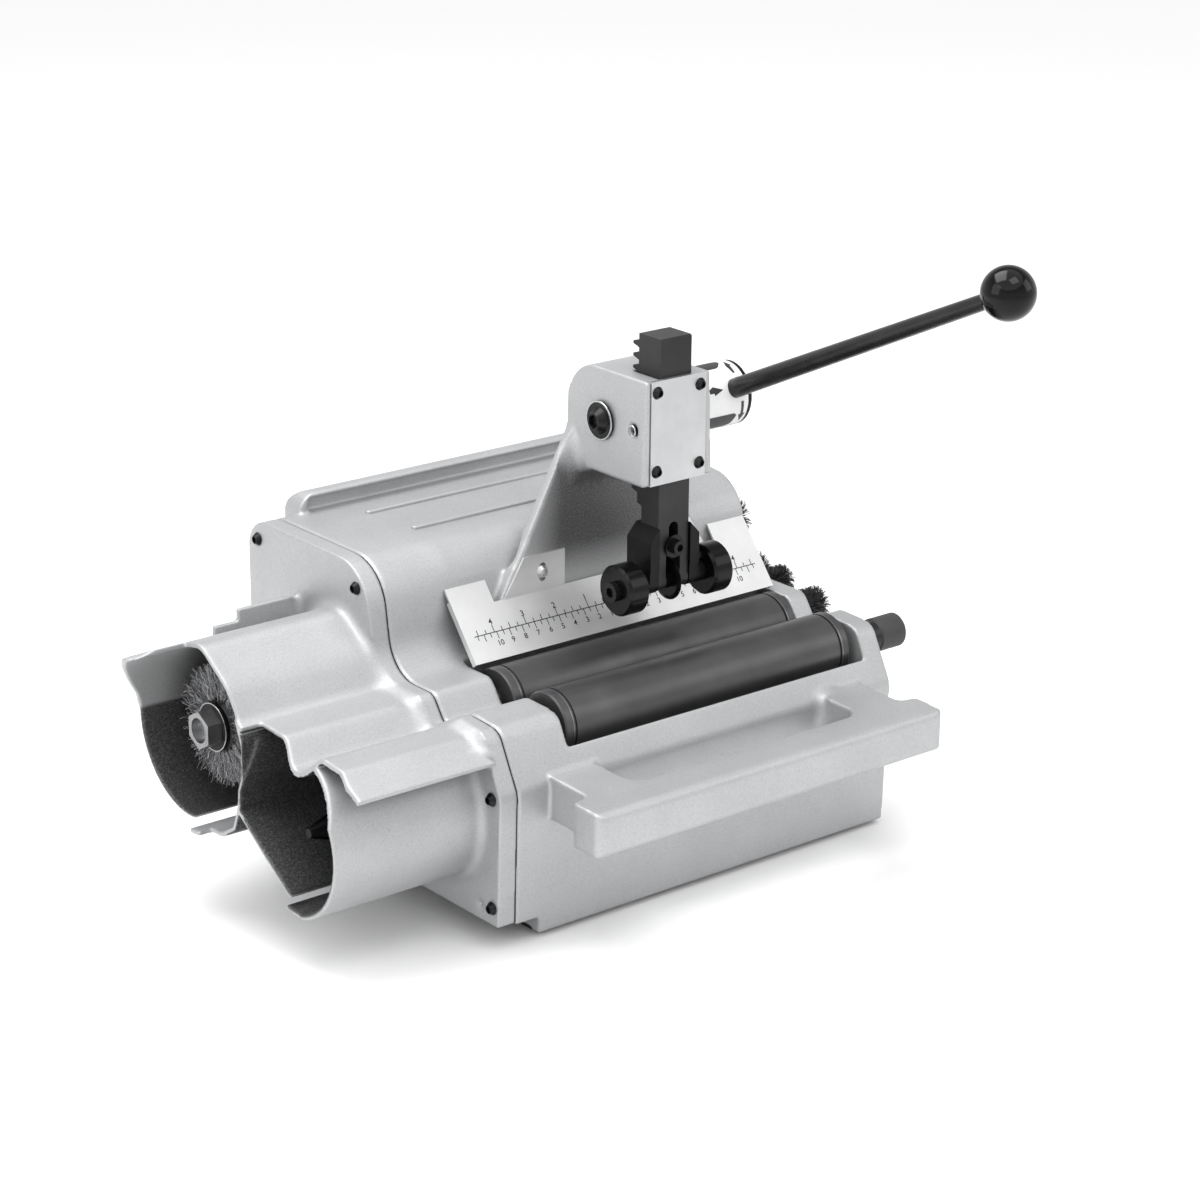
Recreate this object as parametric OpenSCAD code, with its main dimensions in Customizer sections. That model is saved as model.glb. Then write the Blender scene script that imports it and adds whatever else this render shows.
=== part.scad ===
// Copper pipe cutting machine: a bench machine that turns a tube on two drive rollers,
// cuts it with a wheel fed down by a lever, rack and pinion, and cleans and reams its ends.
// X runs along the rollers with zero at the cutting plane, Y to the back, Z up.
// Heights are measured from the underside of the body casting, and foot_drop lifts it all.

/* [Body] */
// Left end of the body, measured from the cutting plane
body_left = 168.5; // [160:0.5:180]
// How far the upper body ends short of the roller bed at the right
bed_step = 12.5; // [10:0.5:15]
// Thickness of the bed's right end wall, which holds the roller bearings
bed_wall = 16; // [14:0.5:20]
// Front wall of the body, measured from the cutting line
body_front = 61; // [60:0.5:63]
// Back wall of the body, measured from the cutting line
body_back = 204.5; // [202:0.5:210]
// Height of the flat top of the body
body_top = 207; // [204:0.5:212]
// Wall thickness of the castings round the drive space
casting_wall = 8; // [6:0.5:9]
// Height of the rubber feet below the casting
foot_drop = 3; // [2:0.5:5]

/* [Rollers] */
// Diameter of the two drive rollers
roller_d = 43; // [38:0.5:45]
// Distance between the roller axes
roller_spacing = 51; // [49:0.5:54]
// Length of each roller
roller_l = 236; // [230:1:240]
// Height of the roller axes
roller_z = 118.6; // [116:0.2:121]
// Diameter of the roller journals
journal_d = 16; // [12:0.5:18]

/* [Front handle] */
// Length of the handle bar
handle_l = 283; // [270:1:290]
// Depth of the handle bar, front to back
handle_d = 27; // [22:0.5:30]
// Height of the handle bar
handle_h = 28; // [20:0.5:30]
// Depth of the finger gap behind the bar
finger_gap = 39; // [32:1:45]

/* [Head and feed] */
// Height of the head's flat top
head_top = 316.4; // [312:0.5:325]
// Height of the head's underside
head_bottom = 249; // [246:0.5:252]
// Width of the square rack across X
rack_w = 24.7; // [22:0.1:25]
// Module of the rack and pinion teeth
tooth_module = 2.5; // [2.4:0.05:2.5]
// Number of pinion teeth
pinion_teeth = 12; // [12:1:12]
// Height of the top of the rack at rest
rack_top = 341.3; // [338:0.5:350]
// Height of the cutter and idler axis at rest
cutter_z = 182.4; // [182:0.2:184]
// Diameter of the cutter wheel
cutter_d = 28; // [24:0.5:29]
// Diameter of the idler rollers beside the cutter
idler_d = 33; // [28:0.5:34]
// Width of each idler roller
idler_w = 15.5; // [12:0.5:17]
// Length from the pinion axis to the centre of the knob
lever_l = 279; // [220:1:320]
// Angle of the lever above level at rest
lever_rise = 25; // [20:1:30]
// Diameter of the knob
knob_d = 33; // [28:0.5:40]
// Diameter of the hub drum that carries the lever
drum_d = 42; // [38:0.5:46]

/* [End cover and cowls] */
// Thickness of the cover's flange
cover_t = 13.5; // [10:0.5:16]
// Wall thickness of the cowls
cowl_wall = 3.2; // [3:0.1:4]
// Outside radius of the rear cowl, round the wire wheel
rear_cowl_r = 54.5; // [53:0.5:56]
// Outside radius of the front cowl, round the reamer
front_cowl_r = 49.5; // [48:0.5:50.5]
// Reach of the cowl mouth, measured from the cutting plane
cowl_reach = 290; // [286:1:300]

/* [Brushes and reamer] */
// Diameter of the wire wheel
wheel_d = 81; // [70:1:81]
// Largest diameter of the reamer cone
reamer_d = 38; // [30:1:42]
// Length of the bristles' stretch on each fitting brush
brush_l = 24; // [18:1:28]

/* [Scale plate] */
// Thickness of the scale plate
plate_t = 1.5; // [1:0.1:2]
// How far the scale plate's ends lie inside the upper body's right end
plate_inset = 2.5; // [2:0.5:5]

/* [Hidden] */

// Running clearance on a radius, sliding gap and the overrun of cuts
running = 0.04;
slide_gap = 0.15;
overrun = 1;
arc_steps = 8;
$fn = 64;

roller_r = roller_d / 2;
nip_y = roller_spacing / 2;
journal_r = journal_d / 2;

// Section of the body, walking up from the front foot and over the two roller humps
belly_out = 3;
belly_z = 98;
hump_y = 45.5;
hump_z = 134;
hump_back_y = 16;
hump_back_z = 135.8;
valley_y = 9.5;
valley_z = 121.5;
rear_hump_y = 21;
rear_hump_z = 137.4;
slope_foot_y = 63;
shoulder_y = 74;
shoulder_r = 32;
slope_foot_r = 26;
back_corner_r = 20;
belly_r = 14;
hump_r = 12;
valley_r = 3;
rear_hump_r = 8;

// Roller bed between the humps
bed_gap = 5.5;
bed_half = roller_l / 2 + bed_gap;
bed_right = bed_half + bed_wall;
body_right = bed_right - bed_step;
plate_half = body_right - plate_inset;
bed_front_y = 54;
bed_back_y = 51;
bed_floor_z = 93;
bed_end_y = 70;
sill_z = 116;
end_wall = 9.5;
bore_depth = 8;

// Left foot of the body, which is cut short under the end cover
foot_x = 150;
foot_step = 11;
cover_step = 13;

// Column and head
web_front_y = 60.5;
web_t = 8;
web_foot_half = 88;
web_foot_z = 165;
web_root_z = 140;
web_top_z = 275;
head_half = 27;
head_draft = 1.5;
head_front_y = 8.7;
head_back_y = 70;
head_corner_r = 26;
neck_r = 20;
neck_z = 229;
rib_half = 8;
rib_reach = 26;
rib_foot_z = 200;
rib_top_z = 262;

// Rack, pinion and their places
rack_front_y = 5.5;
pitch_r = tooth_module * pinion_teeth / 2;
pinion_y = 34;
pinion_z = 283.6;
pitch_y = pinion_y - pitch_r;
rack_root_y = pitch_y - 1.25 * tooth_module;
rack_tip_y = pitch_y + tooth_module;
rack_low_back_y = 11.5;
rack_tooth_foot = 231;
rack_pitch = PI * tooth_module;
rack_tip_share = 0.11;
rack_root_share = 0.34;
pinion_journal_r = 9;
gear_half = 11.8;
rack_channel_half = rack_w / 2 + slide_gap;
gear_pocket_r = pitch_r + tooth_module + 0.3 * tooth_module;
fork_half = 5.8;
fork_top_z = 200;
prong_foot_z = 188.6;
prong_boss_r = 6.4;
screw_slot_r = 3.8;
screw_slot_top = 221.4;
head_plate_half = 22.3;
head_plate_t = 3;
head_plate_seat = head_front_y - head_plate_t;
gib_y = 3.1;
gib_r = 4;
gib_sink = 3;

// Carrier that holds the two idlers
carrier_half = 20;
carrier_front_y = 7.5;
carrier_back_y = 16;
carrier_foot_z = 190.6;
carrier_side_z = 211;
carrier_top_z = 219;
carrier_web_z = 198.5;
carrier_web_gap = 0.3;
axle_boss_r = 7;
idler_inner = 27;
idler_gap = 0.3;
idler_axle_r = 5;
idler_edge = 1.6;
idler_screw_r = 6.4;
idler_screw_h = 4.2;
carrier_screw_z = 205.5;
carrier_screw_r = 3.4;
carrier_screw_head_r = 4.8;
carrier_screw_head_h = 5;
washer_r = 7.5;
washer_t = 1.5;
screw_socket_share = 0.55;
cutter_pin_r = 3.5;
cutter_hub_r = 6;
cutter_hub_half = 5.4;
cutter_edge_half = 1.3;

// Hub drum, lever and knob
drum_start = 30;
drum_end = 82;
drum_edge = 2;
shaft_end = 74;
lever_x = 68;
lever_root_d = 13;
lever_tip_d = 10;
washer_big_r = 12.6;
washer_big_t = 1.4;
button_r = 8.6;
button_h = 4.5;

// Rear ridge with its finger recess, and the front handle's arms
ridge_left = 154;
ridge_inset = 2;
recess_end_wall = 7;
ridge_right = body_right - ridge_inset;
ridge_h = 12.5;
ridge_w = 19;
ridge_front_y = body_back - ridge_w;
ridge_end_r = 13;
ridge_nose_r = 3;
ridge_back_r = 12;
recess_left = 147;
recess_right = ridge_right - recess_end_wall;
recess_d = 5;
recess_y = ridge_front_y + recess_d;
recess_lip = 3;
recess_r = 2.5;
pull_left = 115;
pull_right = 90;
pull_d = 8.5;
pull_y = body_back - pull_d;
pull_foot = 196;
pull_top = 210;
handle_mid = 15.5;
handle_low = 73.6;
handle_edge = 5;
arm_inner = 92.5;
arm_outer = 128.5;
arm_top = 103.6;
arm_low = 76;
arm_fillet = 12;
arm_outer_fillet = 6;

// Cowl section: centres, skin line, floor and lips
rear_cowl_y = 96.5;
rear_cowl_z = 118.6;
front_cowl_y = 2.5;
front_cowl_z = 78.6;
skin_top = 173.1;
skin_reach = 288;
visor_reach = 276;
rear_reach = 300;
ear_reach = 327;
ear_y = 113;
mouth_y = 50;
spindle_r = 8;

// Drive side of the machine: brush arbors and stub
arbor_r = 4;
arbor_collar_r = 7;
arbor_collar_l = 8;
brush_stand = 10.5;
brush_start = bed_right + brush_stand;
brush_core_r = 2.6;
stub_y = -26;
stub_z = 115.5;
stub_shaft_r = 6;
stub_neck_r = 10.5;
stub_neck_l = 17.5;
stub_l = 22;
stub_neck_end = bed_right + stub_neck_l;
stub_end = stub_neck_end + stub_l;
stub_r = 11.5;

// Screws of the cover, seen from the left: places across and up
cover_screw_inset = 11;
cover_screw_places = [[body_back - cover_screw_inset, 194], [83.6, 191], [-54.7, 95.3], [-55, 24],
    [body_back - cover_screw_inset, 24]];
cover_screw_r = 2.5;
cover_screw_head_r = 4.3;
cover_screw_head_h = 2.6;
cover_screw_bite = 12;
boss_r = 6.5;
boss_l = 18;
screw_room = 0.2;
head_screw_x = 17.3;
head_screw_places = [258, 309];
head_screw_r = 2;
head_screw_head_r = 4.1;
head_screw_head_h = 2.4;
head_screw_l = 9;

// Places of the four fitting brushes on the right side: across, up, wall they leave and tip radius
brush_places = [[43.5, 115.6, bed_right, 12], [78, 123, body_right, 11],
                [104, 124, body_right, 12], [128.5, 156, body_right, 14]];
stub_bore_depth = 4.7;
stub_bore_x = bed_right - stub_bore_depth;

// Base plate, its ledges and the feet
base_t = 2;
base_inset = 0.3;
ledge_w = 9;
ledge_h = 6;
foot_r = 11;
feet_inset = 24;
feet_places = [[-foot_x + feet_inset, -body_front + feet_inset],
               [body_right - 1.5 * feet_inset, -body_front + feet_inset],
               [-foot_x + feet_inset, body_back - feet_inset],
               [body_right - 1.5 * feet_inset, body_back - feet_inset]];

// Space inside the casting for the motor and its drive
cave_top = body_top - casting_wall;
cave_shoulder_y = 84;
cave_low_z = bed_floor_z - casting_wall;
cave_back_z = pull_foot - casting_wall;
cave_r = 6;
cave_bed_y = bed_back_y + casting_wall;
cave_bed_z = 128;
cave_slope_y = 76;
cave_slope_z = 150;
chamber_top_z = roller_z + journal_r + 2 * overrun;

// Section of the cowls
skin_shoulder_y = 95;
skin_side_y = 67.2;
skin_side_z = 154.6;
skin_foot_y = 54;
skin_foot_z = 135.2;
partition_top_y = 53;
partition_high_y = 48;
partition_high_z = 122;
partition_low_y = 48.5;
partition_low_z = 103;
partition_foot_y = 53.3;
partition_foot_z = 92;
skin_hump_y = 24;
skin_hump_z = 134;
skin_valley_y = 3;
skin_valley_z = 114.5;
skin_nose_y = 13;
skin_nose_z = 132.5;
visor_top_y = 36;
visor_top_z = 131;
visor_bend_y = 45;
visor_bend_z = 125.5;
visor_z = 121;
visor_end_y = 59.5;
visor_r = 5;
foot_lip_y = 54;
foot_lip_z = 80;
foot_mid_y = 60;
foot_mid_z = 64;
foot_low_y = 75;
foot_low_z = 55;
floor_low_y = 0;
floor_low_z = 43;
lip_start = 12;
lip_end = 3;
lip_rise = 3;
lip_sink_share = 0.6;
mouth_bend_z = 100;
ear_low_z = 130;
ear_high_z = 166;
mouth_back_y = 86;
rear_top_angle = 83;
rear_foot_angle = 264;
front_top_angle = 106;
front_foot_angle = 257;
step_back_y = 144.5;
step_foot_z = 138;
step_x = 229;
step_end_x = 247;
step_top_z = 170;
step_low_z = 162;
vent_y = -43.4;
vent_z = 22.8;
vent_r = 1.7;
vent_depth = 6;

// Roller details
journal_room = 18.5;
roller_end = body_left - journal_room;
ring_in = 7;
ring_x = roller_l / 2 - ring_in;
ring_w = 1.6;
ring_d = 1;

// Scale plate, as places along its slope
slope_foot = [36.2, 140.8];
slope_angle = 51.4;
slope_mid_s = 37;
slope_end_s = 52.4;
slope_fold_s = 44;
fold_d = 4;
plate_wing_x = 93;
tab_in = 36;
tab_out = 85;
tab_top_out = 69;
tab_low = 168.6;
tab_high = 194;
plate_screw_x = 54.2;
plate_screw_z = 181.8;
plate_screw_r = 2.4;
plate_screw_bite = 8;
plate_screw_head_r = 4.6;
plate_screw_head_h = 2.5;
plate_slot_half = 3.6;
button_share = 0.62;
socket_share = 0.6;

// Pinion flank as radius in modules and half angle, its washer, screw and hexagon
pinion_flank_shares = [[4.75, 10.5], [5.3, 10], [5.64, 9.6], [6, 7.6], [6.5, 5.2], [7, 2.2]];
pinion_thin_share = 0.82;
tooth_start = 180;
washer_stand = 0.9;
pinion_screw_r = 4;
pinion_screw_l = 20;
drum_hex_start = 62;
hex_shrink = 0.1;
hex_room = 0.08;
lever_root = 14;
lever_neck = 2;
knob_sink = 9;
knob_flat = 0.8;
gib_rest = 0.2;
carrier_side_gap = 0.25;
cutter_tip_half = 0.15;

// Wire wheel and reamer along their spindles
spindle_end = 156;
wheel_front = 278;
wheel_back = 262;
spindle_collar_t = 4;
nut_start = 281;
nut_end = 291;
nut_grip = 5;
nut_r = 12.5;
wheel_flange_r = 15.5;
wheel_core_r = 15.5;
wheel_around_count = 36;
wheel_along_count = 5;
wheel_strand = 0.55;
reamer_tip = 275;
reamer_wide = 230;
reamer_back = 215;
reamer_tip_r = 3;
reamer_grip = 10;
flutes = 6;
flute_w = 3;
flute_run = 4;
flute_angle = atan((reamer_d / 2 - reamer_tip_r) / (reamer_tip - reamer_wide)) * 0.72;
brush_around_count = 8;
brush_along_count = 7;
brush_strand = 0.5;
tip_share = 0.8;
tip_vary_share = 0.04;
lean_share = 0.3;

// Helpers: corner arcs, extrusions along an axis and a bar along X
function unit(v) = v / norm(v);
function flat(v) = [v[0], v[1]];
function corner(a, b, c, r) = r == 0 ? [b] :
    let (u = unit(a - b), w = unit(c - b), half = acos(u * w) / 2,
         centre = b + unit(u + w) * r / sin(half),
         s = b + u * r / tan(half) - centre,
         e = b + w * r / tan(half) - centre,
         a0 = atan2(s.y, s.x), turn = (atan2(e.y, e.x) - a0 + 540) % 360 - 180)
    [for (i = [0:arc_steps]) centre + r * [cos(a0 + turn * i / arc_steps),
        sin(a0 + turn * i / arc_steps)]];
function rounded(v) = [for (i = [0:len(v) - 1])
    each corner(flat(v[(i + len(v) - 1) % len(v)]), flat(v[i]), flat(v[(i + 1) % len(v)]), v[i][2])];

function bend(v) = [flat(v[0]),
    for (i = [1:len(v) - 2]) each corner(flat(v[i - 1]), flat(v[i]), flat(v[i + 1]), v[i][2]),
    flat(v[len(v) - 1])];
function beside(p, t) = [for (i = [0:len(p) - 1])
    let (d = unit(p[min(i + 1, len(p) - 1)] - p[max(i - 1, 0)])) p[i] + t * [d.y, -d.x]];
function back_to_front(p) = [for (i = [len(p) - 1:-1:0]) p[i]];
function sweep(y, z, r, a0,
    a1) = [for (i = [0:6 * arc_steps]) let (a = a0 + (a1 - a0) * i / (6 * arc_steps))
    [y + r * cos(a), z + r * sin(a)]];

module strip(p, t) { polygon(concat(p, back_to_front(beside(p, t)))); }
module lift() { translate([0, 0, foot_drop]) children(); }
module along_x(x0, x1) { translate([x0, 0, 0]) rotate([90, 0, 90]) linear_extrude(x1 - x0) children(); }
module along_y(y0, y1) { translate([0, y1, 0]) rotate([90, 0, 0]) linear_extrude(y1 - y0) children(); }
module bar_x(x0, x1, y, z, r) { translate([x0, y, z]) rotate([0, 90, 0]) cylinder(h = x1 - x0, r = r); }
module bar_y(y0, y1, x, z, r) { translate([x, y1, z]) rotate([90, 0, 0]) cylinder(h = y1 - y0, r = r); }
module block(x0, x1, y0, y1, z0, z1) { translate([x0, y0, z0]) cube([x1 - x0, y1 - y0, z1 - z0]); }

// Outline of the body, seen from the left, with a radius at each corner
module body_outline() {
    polygon(rounded([
        [-body_front, 0, 0], [-body_front - belly_out, belly_z, belly_r],
        [-hump_y, hump_z, hump_r], [-hump_back_y, hump_back_z, hump_r],
        [valley_y, valley_z, valley_r], [rear_hump_y, rear_hump_z, rear_hump_r],
        [slope_foot_y, rear_hump_z, slope_foot_r], [shoulder_y, body_top, shoulder_r],
        [body_back, body_top, back_corner_r], [body_back, 0, 0]]));
}

// Outline of the roller bed's right end wall, which stays below the slope
module bed_outline() {
    polygon(rounded([
        [-body_front, 0, 0], [-body_front - belly_out, belly_z, belly_r],
        [-hump_y, hump_z, hump_r], [-hump_back_y, hump_back_z, hump_r],
        [valley_y, valley_z, valley_r], [rear_hump_y, rear_hump_z, rear_hump_r],
        [bed_end_y, rear_hump_z, hump_r], [bed_end_y, 0, 0]]));
}

// Space inside the casting for the motor and its drive, open below and to the left
module cave_outline() {
    polygon(rounded([
        [-body_front + casting_wall, -overrun, 0], [-body_front + casting_wall, cave_low_z, cave_r],
        [cave_bed_y, cave_low_z, 0], [cave_bed_y, cave_bed_z, cave_r],
        [cave_slope_y, cave_slope_z, cave_r], [cave_shoulder_y, cave_back_z, cave_r],
        [cave_shoulder_y + shoulder_r / 2, cave_top, cave_r],
        [pull_y - 1.5 * casting_wall, cave_top, 0], [pull_y - 1.5 * casting_wall, cave_back_z, 0],
        [body_back - casting_wall, cave_back_z, cave_r], [body_back - casting_wall, -overrun, 0]]));
}

// Chamber at the left, round the roller ends
module chamber_outline() {
    polygon(rounded([
        [-body_front + casting_wall, cave_low_z - overrun, 0], [-body_front + casting_wall,
            sill_z - hump_r, hump_r],
        [-hump_y + screw_room, chamber_top_z, hump_r], [-hump_back_y, chamber_top_z, hump_r],
        [valley_y, valley_z - casting_wall, valley_r], [rear_hump_y, rear_hump_z - casting_wall,
            valley_r],
        [cave_bed_y, rear_hump_z - casting_wall, 0], [cave_bed_y, cave_low_z - overrun, 0]]));
}

module trough() {
    along_x(-bed_half, bed_half) polygon(rounded([
        [-bed_front_y, body_top, 0], [-bed_front_y, bed_floor_z, cave_r],
        [bed_back_y, bed_floor_z, cave_r], [bed_back_y, rear_hump_z + overrun, 0],
        [valley_y, body_top, 0]]));
    along_x(-bed_half, bed_half)
        polygon([[-body_front - 2 * belly_out, sill_z], [-body_front - 2 * belly_out, body_top],
                 [0, body_top], [0, sill_z]]);
}

// Column: a tapered web at the front of the body, with one rib behind it
module column() {
    along_y(web_front_y, web_front_y + web_t) polygon([
        [-web_foot_half, web_root_z], [-web_foot_half, web_foot_z], [-head_half, web_top_z],
        [head_half, web_top_z], [web_foot_half, web_foot_z], [web_foot_half, web_root_z]]);
    along_x(-rib_half, rib_half) polygon([
        [web_front_y + web_t - overrun, rib_foot_z - rib_reach], [web_front_y + web_t - overrun,
            rib_top_z],
        [web_front_y + web_t + overrun, rib_top_z], [web_front_y + web_t + rib_reach, rib_foot_z],
        [web_front_y + web_t + rib_reach, rib_foot_z - rib_reach]]);
}

// Head: side outline crossed with a slightly tapered front outline
module head_solid() {
    intersection() {
        along_x(-head_half - 2 * head_draft, head_half + 2 * head_draft) polygon(rounded([
            [-head_front_y, head_bottom, 0], [-head_front_y, head_top, 0],
            [head_back_y, head_top, head_corner_r], [web_front_y + web_t, neck_z, 0],
            [web_front_y, neck_z, 0], [web_front_y, head_bottom, neck_r]]));
        along_y(-head_front_y - overrun, head_back_y + overrun) polygon([
            [-head_half - head_draft, neck_z - overrun], [-head_half - head_draft, head_bottom],
            [-head_half + head_draft, head_top + overrun], [head_half - head_draft, head_top + overrun],
            [head_half + head_draft, head_bottom], [head_half + head_draft, neck_z - overrun]]);
    }
}

// Hollow of the head: rack channel, pinion pocket, shaft bores and the seat of the front plate
module head_cuts() {
    block(-rack_channel_half, rack_channel_half, -head_front_y - overrun, rack_tip_y + slide_gap * 2,
          head_bottom - overrun, head_top + overrun);
    bar_x(-rack_channel_half, rack_channel_half, pinion_y, pinion_z, gear_pocket_r);
    block(-rack_channel_half, rack_channel_half, rack_tip_y, pinion_y,
          pinion_z - gear_pocket_r, pinion_z + gear_pocket_r);
    bar_x(-head_half - 3 * head_draft, head_half + 3 * head_draft, pinion_y, pinion_z,
          pinion_journal_r + running);
    block(-head_plate_half - slide_gap, head_plate_half + slide_gap, -head_front_y - overrun,
          -head_plate_seat, head_bottom - overrun, head_top + overrun);
    for (x = [-head_screw_x, head_screw_x], z = head_screw_places)
        bar_y(-head_front_y, head_screw_l - head_front_y, x, z, head_screw_r + screw_room);
    bar_x(-head_half - 3 * head_draft, -rack_channel_half + overrun, gib_y, pinion_z, gib_r + running);
}

// Handle along the front: bar and two arms, with the finger gap between them
module front_handle() {
    bar_back = body_front + finger_gap;
    bar_front = bar_back + handle_d;
    left = -handle_mid - handle_l / 2;
    right = -handle_mid + handle_l / 2;
    difference() {
        intersection() {
            along_x(left, right) polygon(rounded([
                [-bar_front, handle_low, handle_edge], [-bar_front, handle_low + handle_h, handle_edge],
                [-body_front, arm_top, 0], [-bed_front_y - overrun, arm_top, 0],
                [-bed_front_y - overrun, arm_low, 0], [-body_front, arm_low, 0],
                [-bar_back, handle_low, handle_edge]]));
            translate([0, 0, handle_low - overrun]) linear_extrude(handle_h + handle_h) polygon(rounded([
                [left, -bar_front, handle_edge], [right, -bar_front, handle_edge],
                [right, -bar_back, handle_edge], [-handle_mid + arm_outer, -bar_back, arm_outer_fillet],
                [-handle_mid + arm_outer, -bed_front_y, 0], [-handle_mid - arm_outer, -bed_front_y, 0],
                [-handle_mid - arm_outer, -bar_back, arm_outer_fillet], [left, -bar_back, handle_edge]]));
        }
        translate([0, 0, handle_low - overrun]) linear_extrude(handle_h + handle_h) polygon(rounded([
            [-handle_mid - arm_inner, -bar_back, arm_fillet], [-handle_mid + arm_inner, -bar_back,
                arm_fillet],
            [-handle_mid + arm_inner, -body_front, 0], [-handle_mid - arm_inner, -body_front, 0]]));
    }
}

// Ridge along the top of the back, which is the rear handle
module rear_ridge() {
    intersection() {
        along_x(-ridge_left, ridge_right) polygon(rounded([
            [ridge_front_y, body_top - overrun, 0], [ridge_front_y, body_top + ridge_h, ridge_nose_r],
            [body_back, body_top + ridge_h, ridge_back_r], [body_back, body_top - 2 * back_corner_r, 0],
            [ridge_front_y, body_top - 2 * back_corner_r, 0]]));
        along_y(ridge_front_y - overrun, body_back + overrun) polygon(rounded([
            [-ridge_left, body_top - 2 * back_corner_r, 0], [-ridge_left, body_top + ridge_h,
                ridge_end_r],
            [ridge_right, body_top + ridge_h, ridge_end_r], [ridge_right, body_top - 2 * back_corner_r,
                0]]));
    }
}
module ridge_cuts() {
    along_y(ridge_front_y - overrun, recess_y) polygon(rounded([
        [-recess_left, body_top, recess_r], [-recess_left, body_top + ridge_h - recess_lip, recess_r],
        [recess_right, body_top + ridge_h - recess_lip, recess_r], [recess_right, body_top, recess_r]]));
    along_y(pull_y, body_back + overrun) polygon(rounded([
        [-pull_left, pull_foot, cave_r], [-pull_left, pull_top, cave_r],
        [pull_right, pull_top, cave_r], [pull_right, pull_foot, cave_r]]));
}

// Bosses that take the cover's screws, inside the drive space
module cover_bosses() {
    along_x(-body_left, -body_left + boss_l) intersection() {
        body_outline();
        for (p = cover_screw_places) translate(p) circle(r = boss_r);
    }
}

// Ledges inside the foot of the walls, which the base plate lies against
module foot_ledges() {
    block(-foot_x, body_right - casting_wall, -body_front + casting_wall - overrun,
          -body_front + casting_wall + ledge_w, base_t, base_t + ledge_h);
    block(-foot_x, body_right - casting_wall, body_back - casting_wall - ledge_w,
          body_back - casting_wall + overrun, base_t, base_t + ledge_h);
}

module housing() {
    color("lightgray") lift() difference() {
        union() {
            difference() {
                union() {
                    difference() {
                        union() {
                            along_x(-body_left, body_right) body_outline();
                            along_x(body_right - overrun, bed_right) bed_outline();
                        }
                        trough();
                    }
                    column();
                    head_solid();
                    front_handle();
                    rear_ridge();
                }
                ridge_cuts();
                head_cuts();
                along_x(-body_left - overrun, body_right - casting_wall) cave_outline();
                along_x(-body_left - overrun, -bed_half - end_wall) chamber_outline();
            }
            cover_bosses();
            foot_ledges();
        }
        block(-body_left - overrun, -foot_x, -body_front - 2 * belly_out, body_back + overrun,
            -overrun, foot_step);
        for (y = [-nip_y, nip_y]) {
            bar_x(-bed_half - end_wall - overrun, -bed_half + overrun, y, roller_z, journal_r + running);
            bar_x(bed_half - overrun, bed_half + bore_depth, y, roller_z, journal_r + running);
        }
        bar_x(stub_bore_x, bed_right + overrun, stub_y, stub_z, stub_shaft_r + running);
        for (b = brush_places)
            bar_x(b[2] - casting_wall - overrun, b[2] + overrun, b[0], b[1], arbor_r + running);
        for (p = cover_screw_places)
            bar_x(-body_left - overrun, -body_left + boss_l, p[0], p[1], cover_screw_r + screw_room);
        for (x = [-plate_screw_x, plate_screw_x])
            bar_y(web_front_y - overrun, web_front_y + plate_screw_bite + overrun, x, plate_screw_z,
                  plate_screw_r + screw_room);
    }
}

module base_plate() {
    color("dimgray") lift() difference() {
        block(-foot_x + base_inset, body_right - casting_wall - base_inset,
              -body_front + casting_wall + base_inset, body_back - casting_wall - base_inset, 0, base_t);
        for (p = feet_places) translate([p[0], p[1], -overrun])
            cylinder(h = base_t + 2 * overrun, r = foot_r / 2 + screw_room);
    }
}

module feet() {
    color("black") for (p = feet_places) translate([p[0], p[1], 0]) {
        cylinder(h = foot_drop, r = foot_r);
        cylinder(h = foot_drop + base_t + overrun, r = foot_r / 2);
    }
}

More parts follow.
